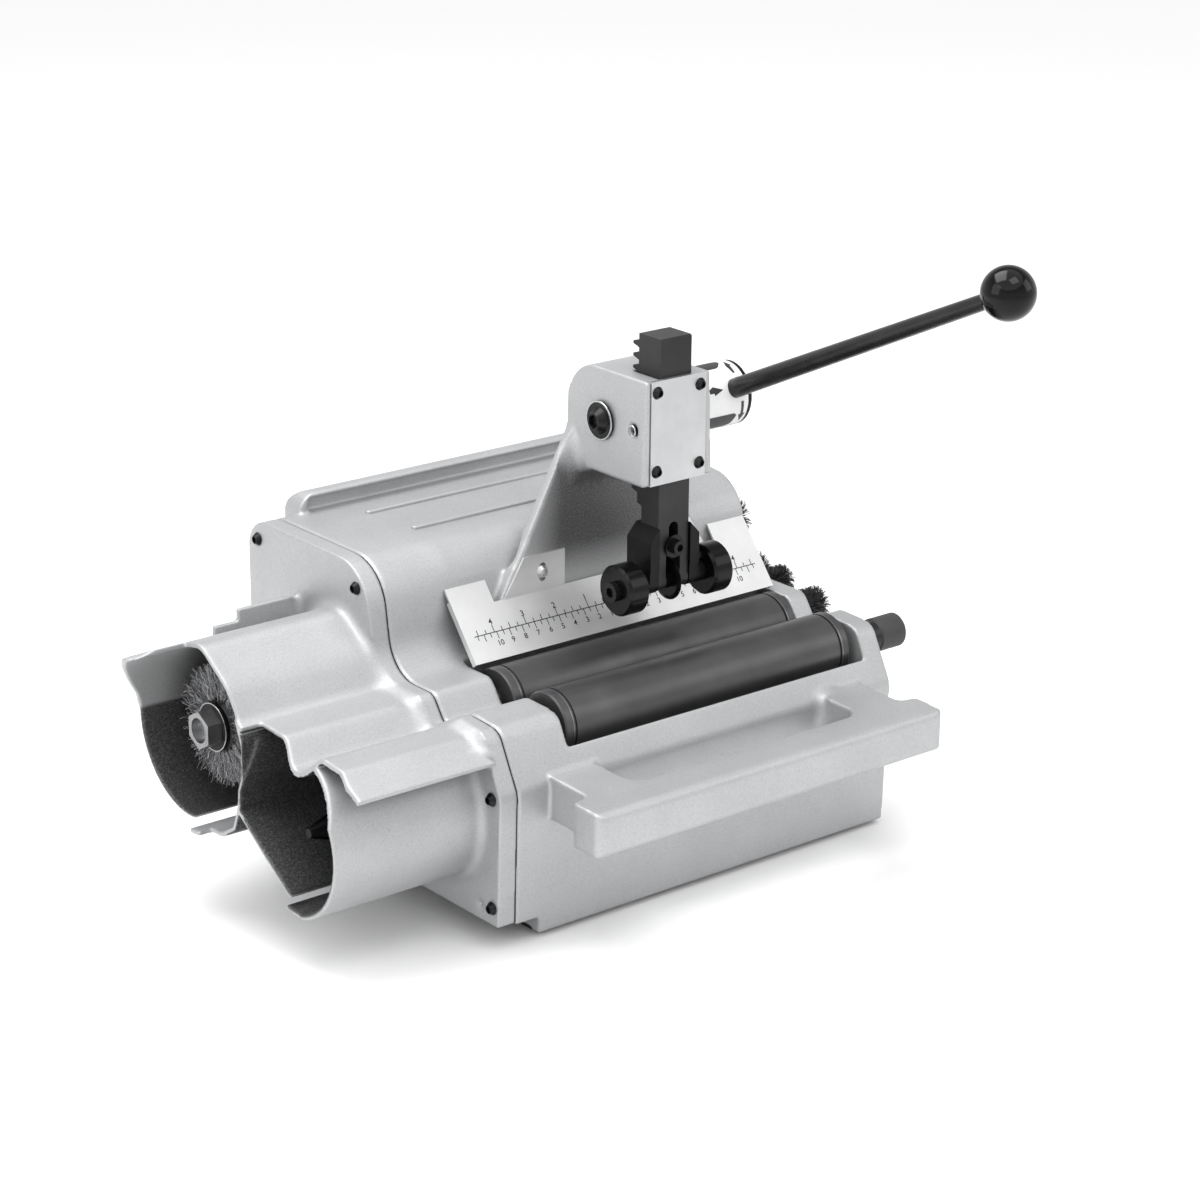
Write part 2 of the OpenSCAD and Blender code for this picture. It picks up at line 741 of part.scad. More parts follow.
// Walls of the two cowls, seen from the left: two open rings under one skin that follows the body
module ring(y, z, r) { translate([y, z]) difference() { circle(r = r); circle(r = r - cowl_wall); } }
module wedge(y, z, a0, a1, r) {
    polygon([[y, z], for (i = [0:4]) let (a = a0 + (a1 - a0) * i / 4) [y + r * cos(a), z + r * sin(a)]]);
}
module cowl_section() {
    difference() {
        ring(rear_cowl_y, rear_cowl_z, rear_cowl_r);
        wedge(rear_cowl_y, rear_cowl_z, rear_top_angle, rear_foot_angle, 3 * rear_cowl_r);
    }
    intersection() {
        ring(front_cowl_y, front_cowl_z, front_cowl_r);
        wedge(front_cowl_y, front_cowl_z, front_top_angle, front_foot_angle, 3 * front_cowl_r);
    }
    strip(bend([[rear_cowl_y + 2 * cowl_wall, skin_top, 0], [skin_shoulder_y, skin_top, shoulder_r / 2],
        [skin_side_y, skin_side_z, shoulder_r], [skin_foot_y, skin_foot_z, rear_hump_r], [skin_hump_y,
            skin_hump_z, hump_r],
        [skin_valley_y, skin_valley_z, hump_r], [-skin_nose_y, skin_nose_z, rear_hump_r],
        [-visor_top_y, visor_top_z, rear_hump_r], [-visor_bend_y, visor_bend_z, visor_r],
        [-visor_end_y, visor_z, 0]]), -cowl_wall);
    strip(bend([[partition_top_y, skin_foot_z - cowl_wall / 3, 0], [partition_high_y, partition_high_z,
        3 * cowl_wall],
        [partition_low_y, partition_low_z, 3 * cowl_wall], [partition_foot_y, partition_foot_z,
            2 * cowl_wall],
        [foot_lip_y, foot_lip_z, 0]]), -cowl_wall);
    strip(bend([[foot_lip_y - cowl_wall / 4, foot_lip_z + cowl_wall, 0], [foot_mid_y, foot_mid_z,
        2 * cowl_wall],
        [foot_low_y, foot_low_z, 2 * cowl_wall], [rear_cowl_y, foot_low_z - cowl_wall / 2, 0]]),
            -cowl_wall);
    strip([[foot_lip_y + cowl_wall / 2, foot_lip_z], [floor_low_y, floor_low_z]], -cowl_wall);
    strip([[front_cowl_y - lip_start, front_cowl_z - front_cowl_r + cowl_wall * lip_sink_share],
           [front_cowl_y + lip_end, front_cowl_z - front_cowl_r + lip_rise]], -cowl_wall);
}

// Stepped web behind the rear cowl, from the cover's face
module cowl_web() {
    along_y(step_back_y, step_back_y + cowl_wall + overrun) polygon([
        [-body_left - cover_t + overrun, step_foot_z], [-body_left - cover_t + overrun, step_top_z],
        [-step_x, step_top_z], [-step_x, step_low_z], [-step_end_x, step_low_z], [-step_end_x,
            step_foot_z]]);
}

// What is cut away past the mouth: straight at the front, shorter at the skin, with an ear at the back
module past_mouth() {
    beyond = ear_reach + cowl_wall;
    along_y(-body_front - 2 * cowl_wall, mouth_y) polygon([
        [-beyond, 0], [-cowl_reach, 0], [-cowl_reach, mouth_bend_z], [-visor_reach, visor_top_z],
        [-visor_reach, body_top], [-beyond, body_top]]);
    along_y(mouth_y - overrun / 2, mouth_back_y) polygon([
        [-beyond, 0], [-cowl_reach, 0], [-cowl_reach, skin_foot_z], [-skin_reach,
            skin_foot_z + cowl_wall],
        [-skin_reach, body_top], [-beyond, body_top]]);
    along_y(mouth_back_y - overrun / 2, ear_y) polygon([
        [-beyond, 0], [-rear_reach, 0], [-rear_reach, rear_cowl_z], [-skin_reach, skin_foot_z],
        [-skin_reach, body_top], [-beyond, body_top]]);
    along_y(ear_y - overrun / 2, body_back) polygon([
        [-beyond, 0], [-rear_reach, 0], [-rear_reach, rear_cowl_z], [-rear_reach - cowl_wall, ear_low_z],
        [-ear_reach, ear_high_z], [-skin_reach, skin_top + cowl_wall], [-beyond, skin_top + cowl_wall]]);
}

module end_cover() {
    color("gainsboro") lift() difference() {
        union() {
            along_x(-body_left - cover_t, -body_left) body_outline();
            difference() {
                along_x(-ear_reach - overrun, -body_left - cover_t + overrun) cowl_section();
                past_mouth();
            }
            cowl_web();
        }
        block(-body_left - cover_t - overrun, -body_left + overrun, -body_front - 2 * belly_out,
              body_back + overrun, -overrun, cover_step);
        bar_x(-body_left - cover_t - overrun, -body_left + overrun, rear_cowl_y, rear_cowl_z,
            spindle_r + running);
        bar_x(-body_left - cover_t - overrun, -body_left + overrun, front_cowl_y, front_cowl_z,
            spindle_r + running);
        bar_x(-body_left - cover_t - overrun, -body_left - cover_t + vent_depth, vent_y, vent_z, vent_r);
        for (p = cover_screw_places)
            bar_x(-body_left - cover_t - overrun, -body_left + overrun, p[0], p[1],
                cover_screw_r + screw_room);
    }
}

// Button-head screws with a hex socket: along X with the head at the left, and along Y with the head in front
module screw_x(x, y, z, r, l, head_r, head_h) {
    difference() {
        union() {
            bar_x(x - overrun / 4, x + l, y, z, r);
            translate([x - head_h, y, z]) rotate([0, 90, 0])
                cylinder(h = head_h, r1 = head_r * button_share, r2 = head_r);
        }
        translate([x - head_h - overrun, y, z]) rotate([0, 90, 0])
            cylinder(h = head_h * socket_share + overrun, r = head_r * screw_socket_share, $fn = 6);
    }
}
module screw_y(y, x, z, r, l, head_r, head_h) {
    difference() {
        union() {
            bar_y(y - overrun / 4, y + l, x, z, r);
            translate([x, y, z]) rotate([90, 0, 0])
                cylinder(h = head_h, r1 = head_r, r2 = head_r * button_share);
        }
        translate([x, y - head_h * (1 - socket_share), z]) rotate([90, 0, 0])
            cylinder(h = head_h + overrun, r = head_r * screw_socket_share, $fn = 6);
    }
}

module cover_screws() {
    color("silver") lift() for (p = cover_screw_places)
        screw_x(-body_left - cover_t, p[0], p[1], cover_screw_r, cover_t + cover_screw_bite,
                cover_screw_head_r, cover_screw_head_h);
}

// Turned piece about an axis along X, from a profile of radius and place
module spun(y, z) { translate([0, y, z]) rotate([0, 90, 0]) rotate_extrude() children(); }

module drive_roller(y) {
    spun(y, roller_z) polygon([
        [0, -roller_end], [journal_r - overrun, -roller_end], [journal_r, -roller_end + overrun],
        [journal_r, -roller_l / 2],
        [roller_r - overrun, -roller_l / 2], [roller_r, -roller_l / 2 + overrun],
        [roller_r, -ring_x], [roller_r - ring_d, -ring_x], [roller_r - ring_d, -ring_x + ring_w],
        [roller_r, -ring_x + ring_w],
        [roller_r, ring_x - ring_w], [roller_r - ring_d, ring_x - ring_w], [roller_r - ring_d, ring_x],
        [roller_r, ring_x], [roller_r, roller_l / 2 - overrun], [roller_r - overrun, roller_l / 2],
        [journal_r, roller_l / 2], [journal_r, bed_half + bore_depth - idler_gap],
        [0, bed_half + bore_depth - idler_gap]]);
}
module front_roller() { color("lightsteelblue") lift() drive_roller(-nip_y); }
module rear_roller() { color("lightsteelblue") lift() drive_roller(nip_y); }

// Scale plate: a sloping sheet with two upright tabs screwed to the column and folded side edges
function on_slope(s, d) = [slope_foot[0] + s * cos(slope_angle) + d * sin(slope_angle),
                           slope_foot[1] + s * sin(slope_angle) - d * cos(slope_angle)];
module slope_sheet(x0, x1, s0, s1) {
    along_x(x0, x1) polygon([on_slope(s0, 0), on_slope(s1, 0), on_slope(s1, plate_t), on_slope(s0,
        plate_t)]);
}
module scale_plate() {
    color("whitesmoke") lift() difference() {
        union() {
            slope_sheet(-plate_half, plate_half, 0, slope_mid_s);
            for (m = [0, 1]) mirror([m, 0, 0]) {
                slope_sheet(plate_wing_x, plate_half, 0, slope_end_s);
                along_x(plate_half - plate_t, plate_half) polygon([
                    on_slope(0, 0), on_slope(slope_fold_s, 0), on_slope(slope_fold_s, fold_d),
                        on_slope(0, fold_d)]);
                along_y(web_front_y - plate_t, web_front_y) polygon([
                    [tab_in, tab_low], [tab_out, tab_low], [tab_top_out, tab_high], [tab_in, tab_high]]);
            }
        }
        for (x = [-plate_screw_x, plate_screw_x]) for (s = [-1, 1])
            bar_y(web_front_y - 2 * plate_t, web_front_y + overrun, x,
                plate_screw_z + s * plate_slot_half,
                  plate_screw_r + screw_room);
        for (x = [-plate_screw_x, plate_screw_x])
            block(x - plate_screw_r - screw_room, x + plate_screw_r + screw_room,
                web_front_y - 2 * plate_t,
                  web_front_y + overrun, plate_screw_z - plate_slot_half,
                      plate_screw_z + plate_slot_half);
    }
}
module plate_screws() {
    color("silver") lift() for (x = [-plate_screw_x, plate_screw_x])
        screw_y(web_front_y - plate_t, x, plate_screw_z, plate_screw_r, plate_t + plate_screw_bite,
                plate_screw_head_r, plate_screw_head_h);
}

module head_plate() {
    color("silver") lift() difference() {
        block(-head_plate_half, head_plate_half, -head_front_y, -head_plate_seat, head_bottom, head_top);
        for (x = [-head_screw_x, head_screw_x], z = head_screw_places)
            bar_y(-head_front_y - overrun, 0, x, z, head_screw_r + screw_room);
    }
}
module head_screws() {
    color("silver") lift() for (x = [-head_screw_x, head_screw_x], z = head_screw_places)
        screw_y(-head_front_y, x, z, head_screw_r, head_screw_l, head_screw_head_r, head_screw_head_h);
}
module gib_screw() {
    color("dimgray") lift() difference() {
        bar_x(-head_half + gib_sink, -rack_channel_half - gib_rest, gib_y, pinion_z, gib_r);
        translate([-head_half, gib_y, pinion_z]) rotate([0, 90, 0])
            cylinder(h = 2 * gib_sink, r = gib_r * screw_socket_share, $fn = 6);
    }
}

// Pinion: a tooth flank as places of radius and half angle, turned round the axis
module pinion() {
    flank = [for (f = pinion_flank_shares) [f[0] * tooth_module, f[1] * pinion_thin_share]];
    color("silver") lift() difference() {
        union() {
            translate([-gear_half, pinion_y, pinion_z]) rotate([90, 0,
                90]) linear_extrude(2 * gear_half) polygon([
                for (k = [0:pinion_teeth - 1]) each [
                    for (f = flank) let (a = tooth_start + k * 360 / pinion_teeth - f[1]) f[0] *
                        [cos(a), sin(a)],
                    for (i = [len(flank) - 1:-1:0])
                        let (f = flank[i], a = tooth_start + k * 360 / pinion_teeth + f[1])
                        f[0] * [cos(a), sin(a)]]]);
            bar_x(-head_half - washer_stand, drum_hex_start, pinion_y, pinion_z, pinion_journal_r);
            translate([drum_hex_start - overrun, pinion_y, pinion_z]) rotate([0, 90, 0])
                cylinder(h = shaft_end - drum_hex_start + overrun, r = pinion_journal_r - hex_shrink,
                    $fn = 6);
        }
        bar_x(-head_half - washer_stand - overrun, -head_half + pinion_screw_l, pinion_y, pinion_z,
              pinion_screw_r + screw_room);
    }
}
module pinion_washer() {
    color("silver") lift() difference() {
        bar_x(-head_half - washer_stand - washer_big_t, -head_half - washer_stand, pinion_y, pinion_z,
            washer_big_r);
        bar_x(-head_half - washer_stand - washer_big_t - overrun, -head_half, pinion_y, pinion_z,
              pinion_screw_r + screw_room);
    }
}
module pinion_screw() {
    color("silver") lift() screw_x(-head_half - washer_stand - washer_big_t, pinion_y, pinion_z,
        pinion_screw_r,
                                   pinion_screw_l, button_r, button_h);
}

// Drum, lever and knob turn as one piece; the drum can be drawn off its hexagon to set the lever anew
module hub_drum() {
    color("gray") lift() difference() {
        spun(pinion_y, pinion_z) polygon([
            [0, drum_start], [drum_d / 2 - drum_edge, drum_start], [drum_d / 2, drum_start + drum_edge],
            [drum_d / 2, drum_end - drum_edge], [drum_d / 2 - drum_edge, drum_end], [0, drum_end]]);
        bar_x(drum_start - overrun, drum_hex_start + screw_room, pinion_y, pinion_z,
            pinion_journal_r + running);
        translate([drum_hex_start, pinion_y, pinion_z]) rotate([0, 90, 0])
            cylinder(h = shaft_end - drum_hex_start + overrun,
                r = pinion_journal_r - hex_shrink + hex_room, $fn = 6);
        on_lever() cylinder(h = drum_d, r = lever_root_d / 2);
    }
}
module on_lever() {
    translate([lever_x, pinion_y, pinion_z]) rotate([90 - lever_rise, 0, 0])
        translate([0, 0, lever_root]) children();
}
module lever_rod() {
    color("lightgray") lift() on_lever() {
        cylinder(h = drum_d / 2 - lever_root + lever_neck, r = lever_root_d / 2);
        translate([0, 0, drum_d / 2 - lever_root + lever_neck])
            cylinder(h = lever_l - knob_d / 2 - drum_d / 2 - lever_neck, r1 = lever_root_d / 2,
                r2 = lever_tip_d / 2);
        cylinder(h = lever_l - lever_root - knob_d / 2 + knob_sink, r = lever_tip_d / 2);
    }
}
module knob() {
    color("black") lift() difference() {
        translate([lever_x, pinion_y, pinion_z]) rotate([90 - lever_rise, 0, 0]) translate([0, 0,
            lever_l])
            intersection() {
                sphere(d = knob_d);
                translate([0, 0, -knob_d / 2 + knob_flat]) cylinder(h = knob_d, r = knob_d);
            }
        on_lever() cylinder(h = lever_l - lever_root - knob_d / 2 + knob_sink, r = lever_tip_d / 2);
    }
}

// Rack: a square bar with teeth behind, forked at the foot to hold the cutter wheel
module rack() {
    tip = rack_pitch * rack_tip_share;
    root = rack_pitch * rack_root_share;
    first = pinion_z + rack_pitch / 2 - floor((pinion_z - rack_tooth_foot) / rack_pitch) * rack_pitch;
    last_n = floor((rack_top - first) / rack_pitch - rack_root_share);
    color("silver") lift() difference() {
        union() {
            along_x(-rack_w / 2, rack_w / 2) polygon([
                [-rack_front_y, prong_foot_z], [-rack_front_y, rack_top - overrun],
                    [-rack_front_y + overrun, rack_top],
                [rack_root_y, rack_top],
                for (k = [last_n:-1:0]) let (z = first + k * rack_pitch) each [
                    [rack_root_y, z + root], [rack_tip_y, z + tip], [rack_tip_y, z - tip],
                        [rack_root_y, z - root]],
                [rack_root_y, rack_tooth_foot], [rack_low_back_y, rack_tooth_foot - overrun],
                [rack_low_back_y, fork_top_z], [prong_boss_r, prong_foot_z]]);
            bar_x(-rack_w / 2, rack_w / 2, 0, cutter_z, prong_boss_r);
            block(-rack_w / 2, rack_w / 2, -rack_front_y, prong_boss_r, cutter_z, prong_foot_z + overrun);
        }
        block(-fork_half, fork_half, -rack_front_y - 2 * overrun, rack_low_back_y + overrun,
              cutter_z - 2 * prong_boss_r, fork_top_z);
        bar_x(-rack_w, rack_w, 0, cutter_z, cutter_pin_r);
        for (z = [carrier_screw_z, screw_slot_top - screw_slot_r])
            bar_y(-rack_front_y - overrun, rack_low_back_y + overrun, 0, z, screw_slot_r);
        block(-screw_slot_r, screw_slot_r, -rack_front_y - overrun, rack_low_back_y + overrun,
              carrier_screw_z, screw_slot_top - screw_slot_r);
    }
}

module carrier() {
    inner = rack_w / 2 + carrier_side_gap;
    color("slategray") lift() difference() {
        union() {
            along_y(-carrier_front_y, carrier_back_y) polygon([
                [-carrier_half, carrier_foot_z], [-carrier_half, carrier_side_z], [-inner, carrier_top_z],
                [inner, carrier_top_z], [carrier_half, carrier_side_z], [carrier_half, carrier_foot_z]]);
            bar_x(-idler_inner + idler_gap, idler_inner - idler_gap, 0, cutter_z, axle_boss_r);
            block(-carrier_half, carrier_half, -axle_boss_r, axle_boss_r, cutter_z,
                carrier_foot_z + overrun);
        }
        block(-inner, inner, -body_front, rack_low_back_y + carrier_web_gap, cutter_z - body_front,
            body_top * 2);
        block(-inner, inner, 0, body_front, cutter_z - body_front, carrier_web_z);
        bar_y(0, body_front, 0, carrier_screw_z, carrier_screw_r);
        for (m = [0, 1]) mirror([m, 0, 0]) bar_x(inner - overrun, idler_inner, 0, cutter_z, idler_axle_r);
    }
}
module carrier_washer() {
    color("silver") lift() difference() {
        bar_y(-rack_front_y - carrier_web_gap - washer_t, -rack_front_y - carrier_web_gap, 0,
            carrier_screw_z, washer_r);
        bar_y(-body_front, 0, 0, carrier_screw_z, carrier_screw_r + screw_room);
    }
}
module carrier_screw() {
    color("silver") lift() difference() {
        union() {
            bar_y(-rack_front_y - carrier_web_gap - washer_t - overrun, carrier_back_y, 0,
                carrier_screw_z, carrier_screw_r);
            bar_y(-rack_front_y - carrier_web_gap - washer_t - carrier_screw_head_h,
                  -rack_front_y - carrier_web_gap - washer_t, 0, carrier_screw_z, carrier_screw_head_r);
        }
        translate([0, -rack_front_y - carrier_web_gap - washer_t - carrier_screw_head_h / 2,
            carrier_screw_z])
            rotate([90, 0, 0]) cylinder(h = carrier_screw_head_h,
                r = carrier_screw_head_r * screw_socket_share, $fn = 6);
    }
}

module idler_at_right() {
    spun(0, cutter_z) polygon([
        [idler_axle_r + running, idler_inner], [idler_d / 2 - idler_edge, idler_inner],
        [idler_d / 2, idler_inner + idler_edge], [idler_d / 2, idler_inner + idler_w - idler_edge],
        [idler_d / 2 - idler_edge, idler_inner + idler_w], [idler_axle_r + running,
            idler_inner + idler_w]]);
}
module right_idler() { color("gainsboro") lift() idler_at_right(); }
module left_idler() { color("gainsboro") lift() mirror([1, 0, 0]) idler_at_right(); }
module idler_screw_at_right() {
    start = idler_inner + idler_w + idler_gap;
    difference() {
        union() {
            bar_x(rack_w / 2 + carrier_side_gap + overrun, start + overrun, 0, cutter_z, idler_axle_r);
            bar_x(start, start + idler_screw_h, 0, cutter_z, idler_screw_r);
        }
        translate([start + idler_screw_h / 3, 0, cutter_z]) rotate([0, 90, 0])
            cylinder(h = idler_screw_h, r = idler_screw_r * screw_socket_share, $fn = 6);
    }
}
module right_idler_screw() { color("dimgray") lift() idler_screw_at_right(); }
module left_idler_screw() { color("dimgray") lift() mirror([1, 0, 0]) idler_screw_at_right(); }

module cutter_wheel() {
    color("silver") lift() spun(0, cutter_z) polygon([
        [cutter_pin_r + running, -cutter_hub_half], [cutter_hub_r, -cutter_hub_half], [cutter_hub_r,
            -cutter_edge_half],
        [cutter_d / 2 - 2 * cutter_edge_half, -cutter_edge_half], [cutter_d / 2, -cutter_tip_half],
        [cutter_d / 2, cutter_tip_half], [cutter_d / 2 - 2 * cutter_edge_half, cutter_edge_half],
        [cutter_hub_r, cutter_edge_half], [cutter_hub_r, cutter_hub_half], [cutter_pin_r + running,
            cutter_hub_half]]);
}
module cutter_pin() { color("dimgray") lift() bar_x(-rack_w / 2, rack_w / 2, 0, cutter_z, cutter_pin_r); }

// Wire wheel in the rear cowl and reamer in the front one
module wheel_spindle() {
    color("silver") lift() union() {
        bar_x(-nut_start - nut_grip, -spindle_end, rear_cowl_y, rear_cowl_z, spindle_r);
        bar_x(-wheel_back - spindle_collar_t, -wheel_back, rear_cowl_y, rear_cowl_z, wheel_flange_r);
    }
}
module wire_wheel() {
    color("goldenrod") lift() translate([0, rear_cowl_y, rear_cowl_z]) rotate([0, 90, 0]) translate([0,
        0, -wheel_front])
        bristles(wheel_core_r, wheel_d / 2, wheel_front - wheel_back - spindle_collar_t,
            wheel_around_count, wheel_along_count, wheel_strand, spindle_r + running);
}
module wheel_flange() {
    color("silver") lift() difference() {
        bar_x(-nut_start, -wheel_front, rear_cowl_y, rear_cowl_z, wheel_flange_r);
        bar_x(-nut_end - overrun, -wheel_front + overrun, rear_cowl_y, rear_cowl_z, spindle_r);
    }
}
module wheel_nut() {
    color("silver") lift() difference() {
        translate([-nut_end, rear_cowl_y, rear_cowl_z]) rotate([0, 90,
            0]) cylinder(h = nut_end - nut_start, r = nut_r, $fn = 6);
        bar_x(-nut_end - overrun, -wheel_front + overrun, rear_cowl_y, rear_cowl_z, spindle_r);
    }
}
module reamer_spindle() {
    color("silver") lift() bar_x(-reamer_back - reamer_grip, -spindle_end, front_cowl_y, front_cowl_z,
        spindle_r);
}
module reamer() {
    color("gray") lift() difference() {
        translate([0, front_cowl_y, front_cowl_z]) rotate([0, 90, 0]) union() {
            translate([0, 0, -reamer_tip]) cylinder(h = reamer_tip - reamer_wide, r1 = reamer_tip_r,
                r2 = reamer_d / 2);
            translate([0, 0, -reamer_wide]) cylinder(h = reamer_wide - reamer_back, r = reamer_d / 2);
        }
        for (k = [0:flutes - 1]) translate([0, front_cowl_y, front_cowl_z]) rotate([k * 360 / flutes,
            0, 0])
            translate([-reamer_tip - overrun, -flute_w / 2, 0]) rotate([0, -flute_angle, 0])
                translate([0, 0, reamer_tip_r - overrun / 2]) cube([reamer_tip - reamer_wide +
                    flute_run, flute_w, reamer_d]);
        bar_x(-reamer_back - reamer_grip, 0, front_cowl_y, front_cowl_z, spindle_r);
    }
}

// Ring of bristles fused to their backing: each cell of the backing rises into one four-sided strand
function wobble(i, j, k) = sin(i * 137.5 + j * 61.8 + k * 97.3);
function round_point(r, a, h) = [r * cos(a), r * sin(a), h];
module bristles(core, tip, len, around, along, half_w, bore) {
    da = 360 / around;
    dh = len / along;
    a_half = asin(half_w / core);
    t_half = asin(half_w * tip_share / tip);
    lean_a = da * lean_share;
    lean_h = dh * lean_share;
    n_grid = around * (along + 1);
    function grid(i, j) = (i % around) * (along + 1) + j;
    function cell(i, j, k) = n_grid + ((i % around) * along + j) * 8 + k;
    n_all = n_grid + around * along * 8;
    points = concat(
        [for (i = [0:around - 1], j = [0:along]) round_point(core, i * da, j * dh)],
        [for (i = [0:around - 1], j = [0:along - 1])
            let (a = (i + 0.5) * da, h = (j + 0.5) * dh,
                 b = a + lean_a * wobble(i, j, 1), g = h + lean_h * wobble(i, j, 2),
                 r = tip * (1 - tip_vary_share * (1 + wobble(i, j, 3))))
            each [round_point(core, a - a_half, h - half_w), round_point(core, a + a_half, h - half_w),
                  round_point(core, a + a_half, h + half_w), round_point(core, a - a_half, h + half_w),
                  round_point(r, b - t_half, g - half_w * tip_share), round_point(r, b + t_half,
                      g - half_w * tip_share),
                  round_point(r, b + t_half, g + half_w * tip_share), round_point(r, b - t_half,
                      g + half_w * tip_share)]],
        bore > 0 ? [for (i = [0:around - 1]) each [round_point(bore, i * da, 0), round_point(bore,
            i * da, len)]]
                 : [[0, 0, 0], [0, 0, len]]);
    function inner(i, k) = n_all + (i % around) * 2 + k;
    faces = concat(
        [for (i = [0:around - 1], j = [0:along - 1])
            let (c = [grid(i, j), grid(i + 1, j), grid(i + 1, j + 1), grid(i, j + 1)],
                 q = [for (k = [0:3]) cell(i, j, k)], t = [for (k = [4:7]) cell(i, j, k)])
            each [for (k = [0:3]) each [[c[k], q[k], q[(k + 1) % 4]], [c[k], q[(k + 1) % 4],
                c[(k + 1) % 4]],
                                        [q[k], t[k], t[(k + 1) % 4]], [q[k], t[(k + 1) % 4],
                                            q[(k + 1) % 4]]],
                  [t[0], t[3], t[2]], [t[0], t[2], t[1]]]],
        bore > 0 ?
            [for (i = [0:around - 1]) each [
                [grid(i, 0), grid(i + 1, 0), inner(i + 1, 0)], [grid(i, 0), inner(i + 1, 0), inner(i, 0)],
                [grid(i + 1, along), grid(i, along), inner(i, 1)], [grid(i + 1, along), inner(i, 1),
                    inner(i + 1, 1)],
                [inner(i, 0), inner(i + 1, 0), inner(i + 1, 1)], [inner(i, 0), inner(i + 1, 1),
                    inner(i, 1)]]]
          : [for (i = [0:around - 1]) each [
                [grid(i, 0), grid(i + 1, 0), n_all], [grid(i + 1, along), grid(i, along), n_all + 1]]]);
    polyhedron(points = points, faces = faces);
}

module arbor(b) {
    bar_x(b[2] - casting_wall + overrun, brush_start, b[0], b[1], arbor_r);
    bar_x(b[2] + idler_gap, b[2] + idler_gap + arbor_collar_l, b[0], b[1], arbor_collar_r);
}
module fitting_brush(b) {
    translate([brush_start, b[0], b[1]]) rotate([0, 90, 0])
        bristles(brush_core_r, b[3], brush_l, brush_around_count, brush_along_count, brush_strand, 0);
}
module brush_arbor_1() { color("silver") lift() arbor(brush_places[3]); }
module brush_arbor_2() { color("silver") lift() arbor(brush_places[2]); }
module brush_arbor_3() { color("silver") lift() arbor(brush_places[1]); }
module brush_arbor_4() { color("silver") lift() arbor(brush_places[0]); }
module fitting_brush_1() { color("goldenrod") lift() fitting_brush(brush_places[3]); }
module fitting_brush_2() { color("goldenrod") lift() fitting_brush(brush_places[2]); }
module fitting_brush_3() { color("goldenrod") lift() fitting_brush(brush_places[1]); }
module fitting_brush_4() { color("goldenrod") lift() fitting_brush(brush_places[0]); }

module stub_shaft() {
    color("silver") lift() {
        bar_x(stub_bore_x + idler_gap, bed_right + idler_gap + overrun, stub_y, stub_z, stub_shaft_r);
        bar_x(bed_right + idler_gap, stub_neck_end, stub_y, stub_z, stub_neck_r);
        bar_x(stub_neck_end - overrun, stub_end - overrun, stub_y, stub_z, stub_shaft_r);
    }
}
module drive_stub() {
    color("black") lift() difference() {
        spun(stub_y, stub_z) polygon([
            [0, stub_neck_end], [stub_r - overrun, stub_neck_end], [stub_r, stub_neck_end + overrun],
            [stub_r, stub_end - overrun], [stub_r - overrun, stub_end], [0, stub_end]]);
        bar_x(stub_neck_end - overrun, stub_end - overrun, stub_y, stub_z, stub_shaft_r);
    }
}

housing();
base_plate();
feet();
end_cover();
cover_screws();
front_roller();
rear_roller();
scale_plate();
plate_screws();
head_plate();
head_screws();
gib_screw();
pinion();
pinion_washer();
pinion_screw();
hub_drum();
lever_rod();
knob();
rack();
carrier();
carrier_washer();
carrier_screw();
left_idler();
right_idler();
left_idler_screw();
right_idler_screw();
cutter_wheel();
cutter_pin();
wheel_spindle();
wire_wheel();
wheel_flange();
wheel_nut();
reamer_spindle();
reamer();
brush_arbor_1();
fitting_brush_1();
brush_arbor_2();
fitting_brush_2();
brush_arbor_3();
fitting_brush_3();
brush_arbor_4();
fitting_brush_4();
stub_shaft();
drive_stub();
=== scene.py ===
"""Copper pipe cutting machine: a bench machine with two drive rollers and a lever-fed cutter head,
a cowled wire wheel and reamer at the left and fitting brushes at the right."""
import math

import bmesh
import bpy
import numpy
from mathutils import Matrix, Vector


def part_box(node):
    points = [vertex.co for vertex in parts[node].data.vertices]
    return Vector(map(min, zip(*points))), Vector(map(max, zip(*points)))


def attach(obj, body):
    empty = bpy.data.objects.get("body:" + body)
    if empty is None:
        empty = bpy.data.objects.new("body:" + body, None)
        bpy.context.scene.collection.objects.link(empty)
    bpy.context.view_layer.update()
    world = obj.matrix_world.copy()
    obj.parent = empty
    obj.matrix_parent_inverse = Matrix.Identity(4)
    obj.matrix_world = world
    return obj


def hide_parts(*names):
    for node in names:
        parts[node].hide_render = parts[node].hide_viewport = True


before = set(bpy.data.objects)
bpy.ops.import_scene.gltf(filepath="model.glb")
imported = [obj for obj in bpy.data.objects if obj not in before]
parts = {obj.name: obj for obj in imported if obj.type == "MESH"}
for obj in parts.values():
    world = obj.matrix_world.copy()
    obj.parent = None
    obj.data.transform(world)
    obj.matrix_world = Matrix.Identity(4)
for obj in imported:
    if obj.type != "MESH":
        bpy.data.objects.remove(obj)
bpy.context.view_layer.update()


# Small tools

def mm(*values):
    """Millimetres in the part's frame to metres, as a vector where there are three."""
    scaled = [v / 1000 for v in values]
    return Vector(scaled) if len(scaled) == 3 else scaled[0]


def to_mm(corner):
    """A corner of a box from metres to millimetres."""
    return [v * 1000 for v in corner]


def paint(hexcode):
    """An sRGB hex colour as linear RGBA."""
    channels = [int(hexcode[i:i + 2], 16) / 255 for i in (1, 3, 5)]
    return [c / 12.92 if c <= 0.04045 else ((c + 0.055) / 1.055) ** 2.4 for c in channels] + [1]


def placed(name, data):
    """A new object in the scene."""
    item = bpy.data.objects.new(name, data)
    bpy.context.scene.collection.objects.link(item)
    return item


